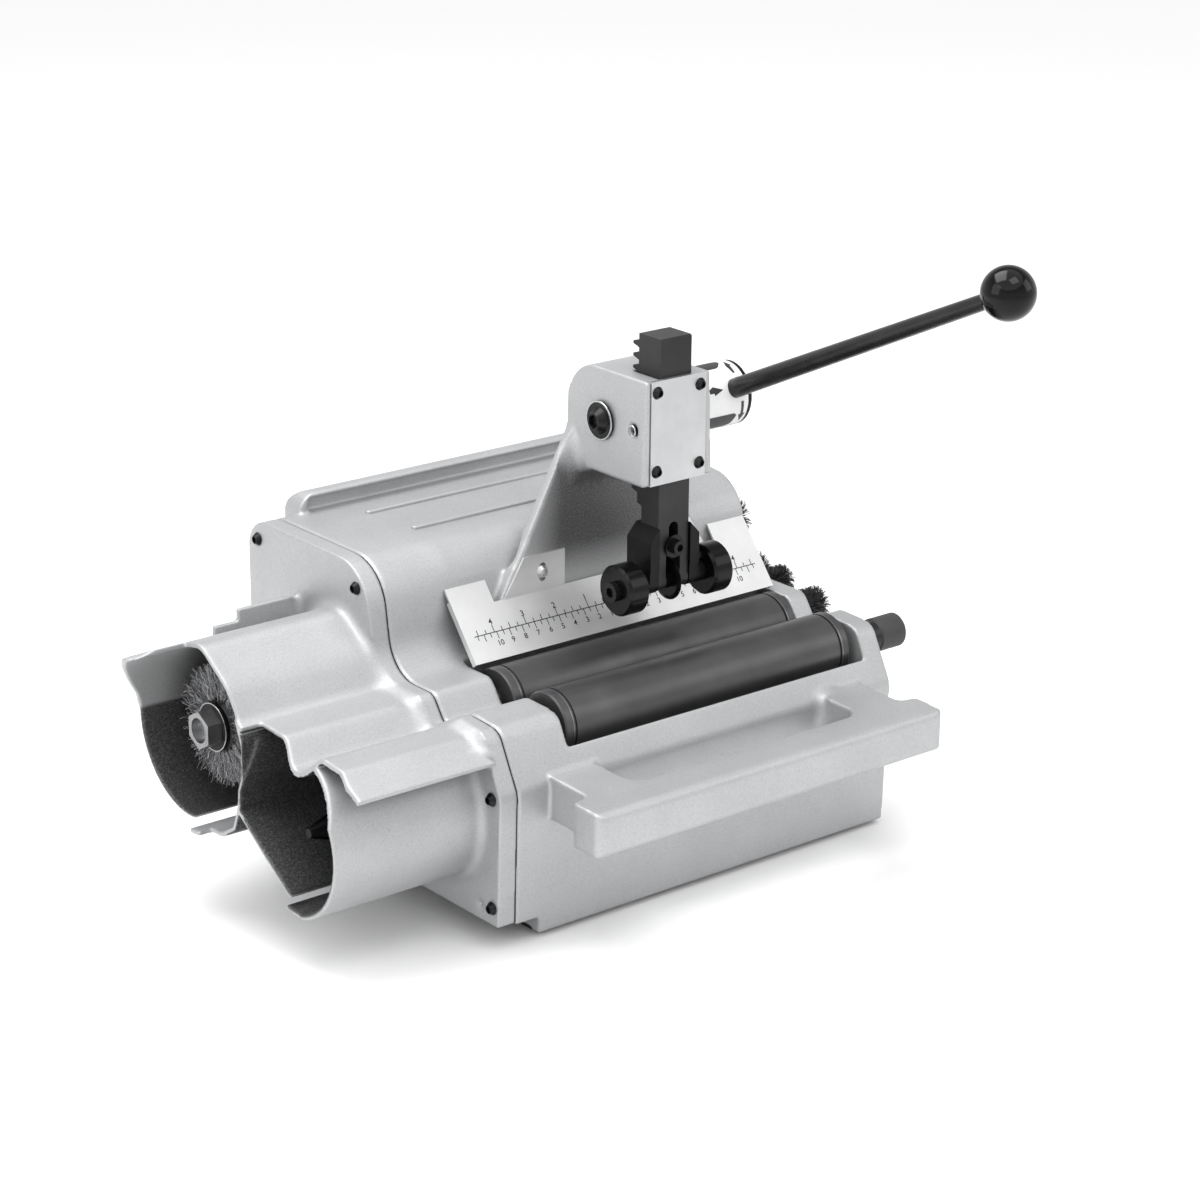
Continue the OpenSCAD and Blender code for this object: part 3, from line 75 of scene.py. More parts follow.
def add(tree, kind, links=None, **settings):
    """Adds a node with its settings, and feeds its inputs with values or with other nodes' outputs."""
    node = tree.nodes.new(kind)
    for key, value in settings.items():
        setattr(node, key, value)
    for key, value in (links or {}).items():
        if isinstance(value, bpy.types.NodeSocket):
            tree.links.new(value, node.inputs[key])
        else:
            node.inputs[key].default_value = value
    return node


def per_mm(size):
    """Texture scale for a pattern whose features are size millimetres across."""
    return 1000 / size


def ramp(value, start, end):
    """0 up to start, 1 from end on, and even in between."""
    return numpy.clip((value - start) / (end - start), 0, 1)


# Finishes

def finish(name, **values):
    """A new material with its Principled shader set; returns the material, its tree and the shader."""
    material = bpy.data.materials.new(name)
    material.use_nodes = True
    tree = material.node_tree
    shader = tree.nodes["Principled BSDF"]
    for key, value in values.items():
        shader.inputs[key.replace("_", " ")].default_value = value
    return material, tree, shader


def wear(tree, shader, colour, gloss=None, normal=None):
    """Links a finish's colour, roughness and bump to its shader, where it has them."""
    for label, output in (("Base Color", colour), ("Roughness", gloss), ("Normal", normal)):
        if output is not None:
            tree.links.new(output, shader.inputs[label])


def noise(tree, place, size, detail, roughness=0.5):
    """Noise from 0 to 1 whose features are size millimetres across."""
    cloud = add(tree, "ShaderNodeTexNoise", {
        "Vector": place, "Scale": per_mm(size), "Detail": detail, "Roughness": roughness})
    return cloud.outputs["Fac"]


def ranged(tree, value, low, high, start=0.0, end=1.0):
    """A value that goes from start to end, made to go from low to high and no further."""
    node = add(tree, "ShaderNodeMapRange", {
        "Value": value, "From Min": start, "From Max": end, "To Min": low, "To Max": high})
    return node.outputs["Result"]


def mixed(tree, share, first, second, blend="MIX"):
    """Two colours, the second over the first by a share and a kind of blend."""
    node = add(tree, "ShaderNodeMix", {0: share, 6: first, 7: second}, data_type="RGBA", blend_type=blend)
    return node.outputs[2]


def times(tree, colour, factor):
    """A colour multiplied by a value."""
    return mixed(tree, 1.0, colour, factor, "MULTIPLY")


def relief(tree, height, strength, depth, under=None):
    """A bump of a depth in millimetres, on top of another bump where one is given."""
    links = {"Height": height, "Strength": strength, "Distance": mm(depth)}
    if under is not None:
        links["Normal"] = under
    return add(tree, "ShaderNodeBump", links).outputs["Normal"]


def mottle(tree, place, size, low, high):
    """Slow change of tone between two hex colours over patches of a real size."""
    tones = add(tree, "ShaderNodeValToRGB", {"Fac": noise(tree, place, size, detail=3.0, roughness=0.6)})
    for end, position, colour in zip(tones.color_ramp.elements, (0.3, 0.7), (low, high)):
        end.position, end.color = position, paint(colour)
    return tones.outputs["Color"]


def blasted_cast_aluminium(name, low, high, grain, depth, roughness):
    """Sand-cast aluminium, bead-blasted: pale grey, no sharp reflections, a fine pebble all over, and
    darker freckles where the skin of the casting is open."""
    material, tree, shader = finish(name, Metallic=0.62)
    place = add(tree, "ShaderNodeTexCoord").outputs["Object"]
    pebble = noise(tree, place, grain, detail=3.0, roughness=0.75)
    # The blasted grain is under half a millimetre on the real one, and drawn at twice that to show.
    speck = noise(tree, place, grain * 1.2, detail=2.0, roughness=0.8)
    grit = ranged(tree, speck, 0.9, 1.07, start=0.32, end=0.68)
    pits = add(tree, "ShaderNodeTexVoronoi", {
        "Vector": place, "Scale": per_mm(grain * 3.5), "Randomness": 1.0})
    freckle = ranged(tree, pits.outputs["Distance"], 0.75, 1.0, start=0.04, end=0.16)
    unshaded_tone = times(tree, times(tree, mottle(tree, place, 60, low, high), grit), freckle)
    # Painted shade: where the mesh's attribute marks shade, in the cowls and under the head, the casting is
    # darkened to a grainy dark grey.
    painted_shade = add(tree, "ShaderNodeAttribute", attribute_name="painted_shade").outputs["Fac"]
    shade_tone = times(tree, paint("#454546"), ranged(tree, speck, 0.75, 2.4, start=0.42, end=0.68))
    wave = relief(tree, noise(tree, place, 9, detail=2.0), strength=0.18, depth=0.35)
    wear(tree, shader, mixed(tree, painted_shade, unshaded_tone, shade_tone),
         gloss=ranged(tree, pebble, roughness - 0.07, roughness + 0.09),
         normal=relief(tree, pebble, ranged(tree, painted_shade, 0.42, 1.0), depth, under=wave))
    return material


def satin_metal(name, low, high, metallic, roughness, stroke=(60, 1.2, 60), depth=0.03):
    """Machined or rolled metal: straight tool strokes, much longer than wide, break up the gloss."""
    material, tree, shader = finish(name, Metallic=metallic)
    place = add(tree, "ShaderNodeTexCoord").outputs["Object"]
    stretched = add(tree, "ShaderNodeMapping", {"Vector": place, "Scale": [per_mm(s) for s in stroke]})
    # The mapping has brought the strokes to unit size, so the noise keeps its scale at one.
    lines = noise(tree, stretched.outputs["Vector"], 1000, detail=3.0, roughness=0.65)
    wear(tree, shader, mottle(tree, place, 30, low, high),
         gloss=ranged(tree, lines, roughness - 0.08, roughness + 0.10),
         normal=relief(tree, lines, 0.4, depth))
    return material


def strands(name, low, high, metallic, roughness):
    """Drawn wire or bristle: each strand catches the light at its own angle, so each is given its own tone, a
    painted highlight on some strands and painted shade on others.
    """
    material, tree, shader = finish(name, Metallic=metallic, Roughness=roughness)
    each = add(tree, "ShaderNodeAttribute", attribute_name="strand").outputs["Fac"]
    wear(tree, shader, mixed(tree, each, paint(low), paint(high)))
    return material


def moulded(name, low, high, roughness, grain=0.8, depth=0.02, specular=0.5):
    """Rubber or plastic from a mould: an even dark tone, with the mould's grain in the gloss."""
    material, tree, shader = finish(name, Specular_IOR_Level=specular)
    place = add(tree, "ShaderNodeTexCoord").outputs["Object"]
    grit = noise(tree, place, grain, detail=3.0)
    wear(tree, shader, mottle(tree, place, 18, low, high),
         gloss=ranged(tree, grit, max(roughness - 0.05, 0.02), roughness + 0.07),
         normal=relief(tree, grit, 0.3, depth))
    return material


casting = blasted_cast_aluminium("Blasted cast aluminium", "#ACADAE", "#B4B5B6", 0.9, 0.16, 0.47)
cowl_casting = blasted_cast_aluminium("Blasted cast aluminium, cover", "#AAABAC", "#B2B3B4", 1.0, 0.2, 0.5)
face_plate = satin_metal("Milled aluminium plate", "#B2B3B4", "#C0C1C2", 0.85, 0.36, (60, 60, 1.6))
printed_sheet = satin_metal("Anodised aluminium sheet", "#CFCFD0", "#DADADA", 0.75, 0.40)
black_oxide = satin_metal("Black oxide steel", "#0F0F10", "#1A1A1B", 0.7, 0.42, (3, 3, 40), 0.02)
rod_black = satin_metal("Black lacquered steel rod", "#262627", "#303031", 0.6, 0.26, (20, 20, 20), 0.02)
roller_black = satin_metal("Black coated roller steel", "#4A4A4B", "#545455", 0.65, 0.36, (40, 1.5, 1.5), 0.02)
idler_black = satin_metal("Polished black idler steel", "#141415", "#1D1D1E", 0.75, 0.19, (30, 1, 1), 0.01)
phosphated = satin_metal("Phosphated rack steel", "#2A2A2B", "#333334", 0.6, 0.42, (3, 3, 30), 0.02)
screw_black = satin_metal("Blackened screw steel", "#19191A", "#242425", 0.7, 0.28, (3, 3, 3), 0.01)
bright_steel = satin_metal("Ground steel", "#A9AAAB", "#BFC0C1", 1.0, 0.26, (12, 1, 1), 0.01)
zinc_bright = satin_metal("Zinc plated steel", "#B5B6B6", "#C9C9C7", 0.95, 0.28, (6, 2, 2), 0.01)
nut_steel = satin_metal("Zinc plated nut steel", "#7A7A7B", "#929293", 0.95, 0.30, (6, 2, 2), 0.01)
crimped_wire = strands("Crimped steel wire", "#38383A", "#DADADC", 0.85, 0.36)
dark_bristle = strands("Dark bristle", "#121212", "#757575", 0.0, 0.5)
ball_gloss = moulded("Black phenolic ball", "#030303", "#050505", 0.10, 4, 0.005, specular=0.25)
stub_rubber = moulded("Moulded rubber", "#2E2E2F", "#3A3A3B", 0.62, 0.7, 0.05)
print_black = moulded("Black print", "#0E0E0E", "#161616", 0.55)
print_grey = moulded("Dark grey print", "#262627", "#2E2E2F", 0.5)
vinyl_white = moulded("White vinyl", "#DADADA", "#E4E4E4", 0.38)


# Meshes and pieces

def dress(material, *names):
    """Gives some of the frame's nodes a finish."""
    for name in names:
        piece = parts[name]
        piece.data.materials.clear()
        piece.data.materials.append(material)


def smooth(mesh, degrees):
    """Smooth shading, apart from edges sharper than that."""
    mesh.shade_smooth()
    mesh.set_sharp_from_angle(angle=math.radians(degrees))


def as_piece(name, mesh, material, body):
    """A visible piece of the scene's own, in one finish, that moves with a body."""
    piece = placed(name, mesh)
    mesh.materials.clear()
    mesh.materials.append(material)
    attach(piece, body)
    return piece


def evaluated(piece):
    """The piece's mesh with its modifiers applied, as a plain mesh; the piece itself goes."""
    bpy.context.view_layer.update()
    mesh = bpy.data.meshes.new_from_object(piece.evaluated_get(bpy.context.evaluated_depsgraph_get()))
    bpy.data.objects.remove(piece)
    return mesh


def mesh_from(work, name):
    """A new mesh from a worked one, which is freed."""
    mesh = bpy.data.meshes.new(name)
    work.to_mesh(mesh)
    work.free()
    return mesh


def all_of(work):
    """The points, edges and faces of a worked mesh."""
    return work.verts[:] + work.edges[:] + work.faces[:]


# Geometry Nodes

def tree_with_inputs(name, **kinds):
    """An empty tree with named inputs of some kinds; returns the tree and its input node's outputs."""
    tree = bpy.data.node_groups.new(name, "GeometryNodeTree")
    for kind, labels in kinds.items():
        for label in labels:
            tree.interface.new_socket(label, in_out="INPUT", socket_type="NodeSocket" + kind)
    tree.interface.new_socket("Geometry", in_out="OUTPUT", socket_type="NodeSocketGeometry")
    return tree, add(tree, "NodeGroupInput").outputs


def grown(tree, base=None, **values):
    """The plain mesh that a Geometry Nodes tree makes from these named inputs."""
    piece = placed("grown", base or bpy.data.meshes.new("grown"))
    layer = piece.modifiers.new("grow", "NODES")
    layer.node_group = tree
    for item in tree.interface.items_tree:
        key = item.name.replace(" ", "_")
        if item.in_out == "INPUT" and key in values:
            layer[item.identifier] = values[key]
    return evaluated(piece)


def calc(tree, operation, *values):
    """One Math node on one, two or three values."""
    return add(tree, "ShaderNodeMath", dict(enumerate(values)), operation=operation).outputs[0]


def product(tree, first, second):
    """Two values multiplied."""
    return calc(tree, "MULTIPLY", first, second)


def vector(tree, x=0.0, y=0.0, z=0.0):
    """A vector from its three parts."""
    return add(tree, "ShaderNodeCombineXYZ", {0: x, 1: y, 2: z}).outputs[0]


def tube(tree, path, radius, sides):
    """A solid of that many sides along curves."""
    section = add(tree, "GeometryNodeCurvePrimitiveCircle", {"Resolution": sides, "Radius": radius},
                  mode="RADIUS")
    solid = add(tree, "GeometryNodeCurveToMesh", {"Curve": path, "Profile Curve": section.outputs[0]})
    return solid.outputs[0]


def deliver(tree, geometry, look):
    """Ends a tree with real geometry in its finish."""
    real = add(tree, "GeometryNodeRealizeInstances", {"Geometry": geometry})
    made = add(tree, "GeometryNodeSetMaterial", {"Geometry": real.outputs[0], "Material": look})
    add(tree, "NodeGroupOutput", {"Geometry": made.outputs[0]})


def bristle_tree():
    """Wires or bristles that stand out from a core along X, each bent by its own crimp."""
    tree, size = tree_with_inputs("Bristles", Int=["Count", "Bends", "Seed"], Float=[
        "Core", "Reach", "Length", "Strand", "Crimp", "Crimp Scale", "Turns", "Spread", "Splay"],
        Material=["Finish"])

    def draw(shift, low=0.0, high=1.0):
        """A random number for each strand, from the seed with a shift of its own."""
        seed = calc(tree, "ADD", size["Seed"], shift)
        return add(tree, "FunctionNodeRandomValue", {2: low, 3: high, 8: seed}, data_type="FLOAT").outputs[1]

    along = draw(0.0)
    place_x = product(tree, calc(tree, "SUBTRACT", along, 0.5), size["Length"])
    spread = product(tree, draw(11.0, low=-1.0), size["Spread"])
    half_turn = product(tree, calc(tree, "ROUND", draw(23.0)), math.pi)
    winding = product(tree, product(tree, along, size["Turns"]), 2 * math.pi)
    angle = calc(tree, "ADD", calc(tree, "ADD", spread, half_turn), winding)
    outward = [calc(tree, "COSINE", angle), calc(tree, "SINE", angle)]
    root = vector(tree, place_x, *[product(tree, part, size["Core"]) for part in outward])
    lean = product(tree, draw(37.0, low=-1.0), size["Splay"])
    turn = add(tree, "FunctionNodeAlignRotationToVector", {"Vector": vector(tree, lean, *outward)}, axis="Z")
    length = product(tree, calc(tree, "SUBTRACT", size["Reach"], size["Core"]), draw(41.0, low=0.8))
    points = add(tree, "GeometryNodePoints", {"Count": size["Count"], "Position": root})
    roots = add(tree, "GeometryNodeStoreNamedAttribute", {
        "Geometry": points.outputs[0], "Name": "strand", "Value": draw(53.0)},
        data_type="FLOAT", domain="POINT")
    wire = add(tree, "GeometryNodeCurvePrimitiveLine", {"Start": (0, 0, 0), "End": (0, 0, 1)}, mode="POINTS")
    jointed = add(tree, "GeometryNodeResampleCurve", {"Curve": wire.outputs[0], "Count": size["Bends"]})
    planted = add(tree, "GeometryNodeInstanceOnPoints", {
        "Points": roots.outputs[0], "Instance": jointed.outputs[0], "Rotation": turn.outputs[0],
        "Scale": vector(tree, 1.0, 1.0, length)})
    loose = add(tree, "GeometryNodeRealizeInstances", {"Geometry": planted.outputs[0]})
    # The crimp's noise is read at the strand's own offset, so that neighbours bend apart.
    own = add(tree, "GeometryNodeInputNamedAttribute", {"Name": "strand"}, data_type="FLOAT")
    place = add(tree, "GeometryNodeInputPosition").outputs[0]
    apart = add(tree, "ShaderNodeVectorMath", {0: place, 1: own.outputs[0]})
    cloud = add(tree, "ShaderNodeTexNoise", {
        "Vector": apart.outputs[0], "Scale": size["Crimp Scale"], "Detail": 1.0})
    centred = add(tree, "ShaderNodeVectorMath", {0: cloud.outputs["Color"], 1: (0.5, 0.5, 0.5)},
                  operation="SUBTRACT")
    out = add(tree, "GeometryNodeSplineParameter").outputs["Factor"]
    amount = product(tree, calc(tree, "POWER", out, 0.45), size["Crimp"])
    bend = add(tree, "ShaderNodeVectorMath", {0: centred.outputs[0], 3: amount}, operation="SCALE")
    crimped = add(tree, "GeometryNodeSetPosition", {"Geometry": loose.outputs[0], "Offset": bend.outputs[0]})
    deliver(tree, tube(tree, crimped.outputs[0], size["Strand"], 3), size["Finish"])
    return tree


def cord_tree():
    """A round cord along the edges of a mesh."""
    tree, size = tree_with_inputs("Cord along edges", Geometry=["Geometry"], Float=["Radius"],
                                  Material=["Finish"])
    path = add(tree, "GeometryNodeMeshToCurve", {"Mesh": size["Geometry"]})
    deliver(tree, tube(tree, path.outputs[0], size["Radius"], 8), size["Finish"])
    return tree


def tick_tree():
    """A row of ruler ticks in a plane, short, middle and long, on one side of the line."""
    tree, size = tree_with_inputs("Ruler ticks", Int=["Count"], Float=[
        "First", "Pitch", "Line", "Short", "Middle", "Long", "Middle Every", "Long Every", "Long Shift",
        "Side"], Material=["Finish"])
    row = add(tree, "GeometryNodeMeshLine", {
        "Count": size["Count"], "Start Location": vector(tree, size["First"]),
        "Offset": vector(tree, size["Pitch"])}, mode="OFFSET")
    index = calc(tree, "ADD", add(tree, "GeometryNodeInputIndex").outputs[0], size["Long Shift"])
    length = size["Short"]
    for kind in ("Middle", "Long"):
        chosen = calc(tree, "LESS_THAN", calc(tree, "MODULO", index, size[kind + " Every"]), 0.5)
        longer = add(tree, "ShaderNodeMix", {0: chosen, 2: length, 3: size[kind]}, data_type="FLOAT")
        length = longer.outputs[0]
    shift = product(tree, product(tree, length, 0.5), size["Side"])
    shape = add(tree, "GeometryNodeMeshGrid", {
        "Size X": 1.0, "Size Y": 1.0, "Vertices X": 2, "Vertices Y": 2})
    spot = add(tree, "GeometryNodeInstanceOnPoints", {
        "Points": row.outputs[0], "Instance": shape.outputs[0],
        "Scale": vector(tree, size["Line"], length, 1.0)})
    moved = add(tree, "GeometryNodeTranslateInstances", {
        "Instances": spot.outputs[0], "Translation": vector(tree, y=shift), "Local Space": False})
    deliver(tree, moved.outputs[0], size["Finish"])
    return tree


# Shapes

def outline_at(mesh, plane):
    """The edges where a plane across X cuts a mesh, as a mesh of its own."""
    work = bmesh.new()
    work.from_mesh(mesh)
    cut = bmesh.ops.bisect_plane(work, geom=all_of(work), plane_co=(mm(plane), 0, 0), plane_no=(1, 0, 0))
    kept = {item for item in cut["geom_cut"] if isinstance(item, bmesh.types.BMEdge)}
    bmesh.ops.delete(work, geom=work.faces[:], context="FACES_ONLY")
    bmesh.ops.delete(work, geom=[line for line in work.edges if line not in kept], context="EDGES")
    bmesh.ops.delete(work, geom=[vert for vert in work.verts if not vert.link_edges], context="VERTS")
    bmesh.ops.remove_doubles(work, verts=work.verts, dist=mm(0.02))
    return mesh_from(work, "outline")


def printed(name, outlines, meshes, place, outward, material, body, step=None):
    """Print on a face: flat outlines and flat meshes, laid on it, and cut every step where it is curved."""
    work = bmesh.new()
    for outline in outlines:
        work.faces.new([work.verts.new((u, v, 0)) for u, v in outline])
    for mesh in meshes:
        work.from_mesh(mesh)
    bmesh.ops.triangulate(work, faces=work.faces[:])
    heights = [vert.co.y for vert in work.verts]
    low, high = min(heights), max(heights)
    cut = low + step if step else high
    while cut < high:
        bmesh.ops.bisect_plane(work, geom=all_of(work), plane_co=(0, cut, 0), plane_no=(0, 1, 0), dist=1e-7)
        cut += step
    for vert in work.verts:
        vert.co = place(vert.co.x, vert.co.y)
    work.normal_update()
    for face in work.faces:
        if face.normal.dot(outward(face.calc_center_median())) < 0:
            face.normal_flip()
    return as_piece(name, mesh_from(work, name), material, body)


def figure(text, height, u, v):
    """A number as a flat mesh, centred on a point, its strokes a little swollen."""
    letters = bpy.data.curves.new("figure", "FONT")
    type_size, swell = 1.4, 0.022
    letters.body, letters.size, letters.offset = text, height * type_size, height * swell
    letters.align_x = letters.align_y = "CENTER"
    mesh = evaluated(placed("figure", letters))
    mesh.transform(Matrix.Translation((u, v, 0)))
    return mesh


def lathe(profile, centre, steps=72):
    """A closed ring turned about a line along X through centre (y, z), from points (x, radius)."""
    work = bmesh.new()
    rings = []
    for k in range(steps):
        angle = 2 * math.pi * k / steps
        rings.append([work.verts.new(mm(x, centre[0] + r * math.cos(angle), centre[1] + r * math.sin(angle)))
                      for x, r in profile])
    for k in range(steps):
        here, there = rings[k], rings[(k + 1) % steps]
        for i in range(len(profile)):
            j = (i + 1) % len(profile)
            work.faces.new((here[i], here[j], there[j], there[i]))
    bmesh.ops.recalc_face_normals(work, faces=work.faces[:])
    mesh = mesh_from(work, "ring")
    smooth(mesh, 30)
    return mesh


def bright_rim(name, x, radius, centre, body, wide=0.5, out=0.12):
    """The worn bright edge of a turned part, on its left face."""
    front, back, inner = x - out, x + 0.2, radius - wide
    ring = lathe([(front, inner), (front, radius - 0.05), (back, radius + 0.12), (back, inner)], centre)
    as_piece(name, ring, bright_steel, body)


def pad(outline, low, high, edge, place):
    """A raised pad with a rounded rim, standing on a face: outline in its plane, low and high above it."""
    work = bmesh.new()
    face = work.faces.new([work.verts.new((u, v, low)) for u, v in outline])
    raised = bmesh.ops.extrude_face_region(work, geom=[face])["geom"]
    top = [item for item in raised if isinstance(item, bmesh.types.BMFace)][0]
    for vert in top.verts:
        vert.co.z = high
    bmesh.ops.bevel(work, geom=top.edges[:], offset=edge, segments=3, profile=0.5, affect="EDGES")
    bmesh.ops.recalc_face_normals(work, faces=work.faces[:])
    for vert in work.verts:
        vert.co = place(*vert.co)
    mesh = mesh_from(work, "pad")
    smooth(mesh, 50)
    return mesh


def rounded_box(u0, v0, u1, v1, radius, steps=5):
    """The outline of a rectangle with rounded corners."""
    points = []
    for cu, cv, first in ((u1 - radius, v1 - radius, 0), (u0 + radius, v1 - radius, 90),
                          (u0 + radius, v0 + radius, 180), (u1 - radius, v0 + radius, 270)):
        for k in range(steps + 1):
            angle = math.radians(first + 90 * k / steps)
            points.append((cu + radius * math.cos(angle), cv + radius * math.sin(angle)))
    return points


# Softened castings

def coordinates(mesh):
    """The places of a mesh's points in millimetres."""
    flat = numpy.empty(len(mesh.vertices) * 3, numpy.float32)
    mesh.vertices.foreach_get("co", flat)
    return flat.reshape(-1, 3) * 1000


def move_points(mesh, place):
    """Puts a mesh's points at places in millimetres."""
    mesh.vertices.foreach_set("co", (place / 1000).astype(numpy.float32).ravel())
    mesh.update()


def directions(mesh):
    """The normals of a mesh's points."""
    flat = numpy.empty(len(mesh.vertices) * 3, numpy.float32)
    mesh.vertex_normals.foreach_get("vector", flat)
    return flat.reshape(-1, 3)


def hollows(mesh, amount):
    """Keeps how far each point lies in shade, from 0 to 1, for the casting's painted shade."""
    layer = mesh.attributes.new("painted_shade", "FLOAT", "POINT")
    layer.data.foreach_set("value", numpy.clip(amount, 0, 1).astype(numpy.float32))


def seam_groove(mesh, plane, width, depth):
    """The open joint where the cover meets the body: the edge falls away on both sides of the plane."""
    place, normal = coordinates(mesh), directions(mesh)
    near = numpy.clip(1 - numpy.abs(place[:, 0] - plane) / width, 0, 1) ** 0.7
    sideways = normal * (0, 1, 1)
    place -= sideways * (near * depth)[:, None]
    move_points(mesh, place)


def joined(mesh):
    """Each edge of a mesh both ways, as two rows of point numbers."""
    ends = numpy.empty(len(mesh.edges) * 2, numpy.int32)
    mesh.edges.foreach_get("vertices", ends)
    ends = ends.reshape(-1, 2)
    return numpy.concatenate((ends[:, 0], ends[:, 1])), numpy.concatenate((ends[:, 1], ends[:, 0]))


def within(place, low, high, border):
    """How far each point is inside a box, from 0 at its walls to 1 a border's width inside."""
    depth = numpy.minimum(place - numpy.array(low), numpy.array(high) - place).min(axis=1)
    return ramp(depth, 0, border)


def eased(mesh, corners, slopes, passes):
    """Fills the inner corners in some boxes, and rounds all that is in others, as a mould's fillets do.

    Each corner is (low, high, rings), and each slope (low, high, border)."""
    corner_bend, ring_fall, pull = 0.04, 0.6, 0.9
    place, normal = coordinates(mesh), directions(mesh)
    here, there = joined(mesh)
    total = len(place)
    count = numpy.bincount(here, minlength=total)

    def neighbours(owners, others, number, shares):
        """The mean place of each point's neighbours."""
        sums = [numpy.bincount(owners, place[others, k], number) for k in range(3)]
        return numpy.stack(sums, axis=1) / shares[:, None]

    bend = ((neighbours(here, there, total, count) - place) * normal).sum(axis=1)
    share = numpy.zeros(total)
    for low, high, rings in corners:
        near = ((bend > corner_bend) & (within(place, low, high, 0.1) > 0)).astype(float)
        for _ in range(rings):
            wider = near.copy()
            lit = near[here] > 0
            numpy.maximum.at(wider, there[lit], near[here[lit]] - ring_fall / rings)
            near = wider
        share = numpy.maximum(share, near)
    for low, high, border in slopes:
        share = numpy.maximum(share, within(place, low, high, border))
    chosen = numpy.nonzero(share > 0)[0]
    number = numpy.full(total, -1)
    number[chosen] = numpy.arange(len(chosen))
    own = number[here] >= 0
    here, there = number[here[own]], there[own]
    for _ in range(passes):
        mean = neighbours(here, there, len(chosen), count[chosen])
        place[chosen] += (mean - place[chosen]) * (share[chosen] * pull)[:, None]
    move_points(mesh, place)


def soft_casting(node, voxel, passes, most_triangles, corners, eases, slopes=()):
    """The casting with the rounded edges and filled corners that a mould leaves, from the solid's surface."""
    work = bmesh.new()
    work.from_mesh(parts[node].data)
    bmesh.ops.remove_doubles(work, verts=work.verts, dist=mm(0.005))
    piece = placed(node + "_skin", mesh_from(work, node + "_skin"))
    grid = piece.modifiers.new("grid", "REMESH")
    grid.mode, grid.voxel_size = "VOXEL", mm(voxel)
    soft = piece.modifiers.new("soften", "SMOOTH")
    soft.factor, soft.iterations = 0.5, passes
    mesh = evaluated(piece)
    eased(mesh, corners, slopes, eases)
    piece = placed(node + "_skin", mesh)
    mesh.calc_loop_triangles()
    if len(mesh.loop_triangles) > most_triangles:
        thin = piece.modifiers.new("thin", "DECIMATE")
        thin.ratio = most_triangles / len(mesh.loop_triangles)
    return evaluated(piece)


# Body and end cover. Places are in millimetres, and an axis is the (y, z) of a line along X.
rear_axis, front_axis, pinion_axis = (96.5, 121.6), (2.5, 81.6), (34.0, 286.6)
rear_cowl_radius, front_cowl_radius = 52.9, 47.9
seam_x, top_height = -168.5, 210
body_corners = [
    ((-60, 45, 215), (60, 66, 262), 8), ((-70, 56, 206), (70, 130, 214), 5),
    ((-168, 52, 140), (-119, 70, 165), 8), ((-110, -128, 70), (90, -62, 112), 5)]
body_slopes = [((-167.5, 52, 165), (-116, 96, 214), 9), ((-118, 60, 190), (-64, 96, 214), 9)]
cowl_roots = [((-192, -62, 18), (-178, 203, 208), 8)]
web_low, web_high, web_border, web_shade = (-60, 30, 176), (72, 90, 268), 22, 0.85

housing_mesh = soft_casting("housing", 1.25, 5, 190000, body_corners, 55, body_slopes)
seam_groove(housing_mesh, seam_x, 1.6, 0.9)
# Painted shade on the forward faces of the web, under the head's overhang.
front_of_web = ramp(-directions(housing_mesh)[:, 1], 0.2, 0.7)
in_web = within(coordinates(housing_mesh), web_low, web_high, web_border)
hollows(housing_mesh, web_shade * front_of_web * in_web)
housing_piece = as_piece("body_casting", housing_mesh, casting, "body")
housing_mesh.shade_smooth()
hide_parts("housing")


def cover_hollow(mesh):
    """How far each point of the end cover lies in the shade of its cowls and under its skin, from 0 to 1, for
    the painted shade.
    """
    x, y, z = coordinates(mesh).T
    _, facing_y, facing_z = directions(mesh).T

    def inside(axis, radius):
        """How far each point is inside a cowl and turned towards its axis, from 0 to 1."""
        aside, above = y - axis[0], z - axis[1]
        away = numpy.maximum(numpy.hypot(aside, above), 1)
        inward = -(facing_y * aside + facing_z * above) / away
        return ramp(radius - away, -0.4, 0.4) * ramp(inward, -0.1, 0.7 / 3)

    low_side = ramp(rear_axis[1] + 3 - z, 0, 2.5)
    deep = numpy.minimum(ramp(x, -285, -245), 0.7)
    rear = inside(rear_axis, rear_cowl_radius) * numpy.maximum(low_side, deep)
    between = (y > -30) & (y < 70) & (z > 60) & (z < 150)
    under_skin = between * ramp(-facing_z, 0.1, 0.35)
    partition = between * (y > 35) * (z < 133) * ramp(-facing_y, 0.3, 0.55)
    dark = numpy.maximum.reduce((rear, inside(front_axis, front_cowl_radius), under_skin, partition))
    return ramp(-x, 176.5, 178) * dark


cover_mesh = soft_casting("end_cover", 0.85, 10, 195000, cowl_roots, 60)
seam_groove(cover_mesh, seam_x, 1.3, 0.9)
# Painted shade inside the cowls, under the skin and on the partition between them.
hollows(cover_mesh, cover_hollow(cover_mesh))
cover_piece = as_piece("cover_casting", cover_mesh, cowl_casting, "body")
cover_mesh.shade_smooth()
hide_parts("end_cover")

# A dark cord in the joint between the cover and the body: painted shade in the gap there.
cord_shift = 0.4
joint_line = outline_at(housing_mesh, seam_x + cord_shift)
joint_cord = grown(cord_tree(), joint_line, Radius=mm(0.6), Finish=print_black)
joint_cord.transform(Matrix.Translation((mm(-cord_shift), 0, 0)))
as_piece("joint_gasket", joint_cord, print_black, "body")

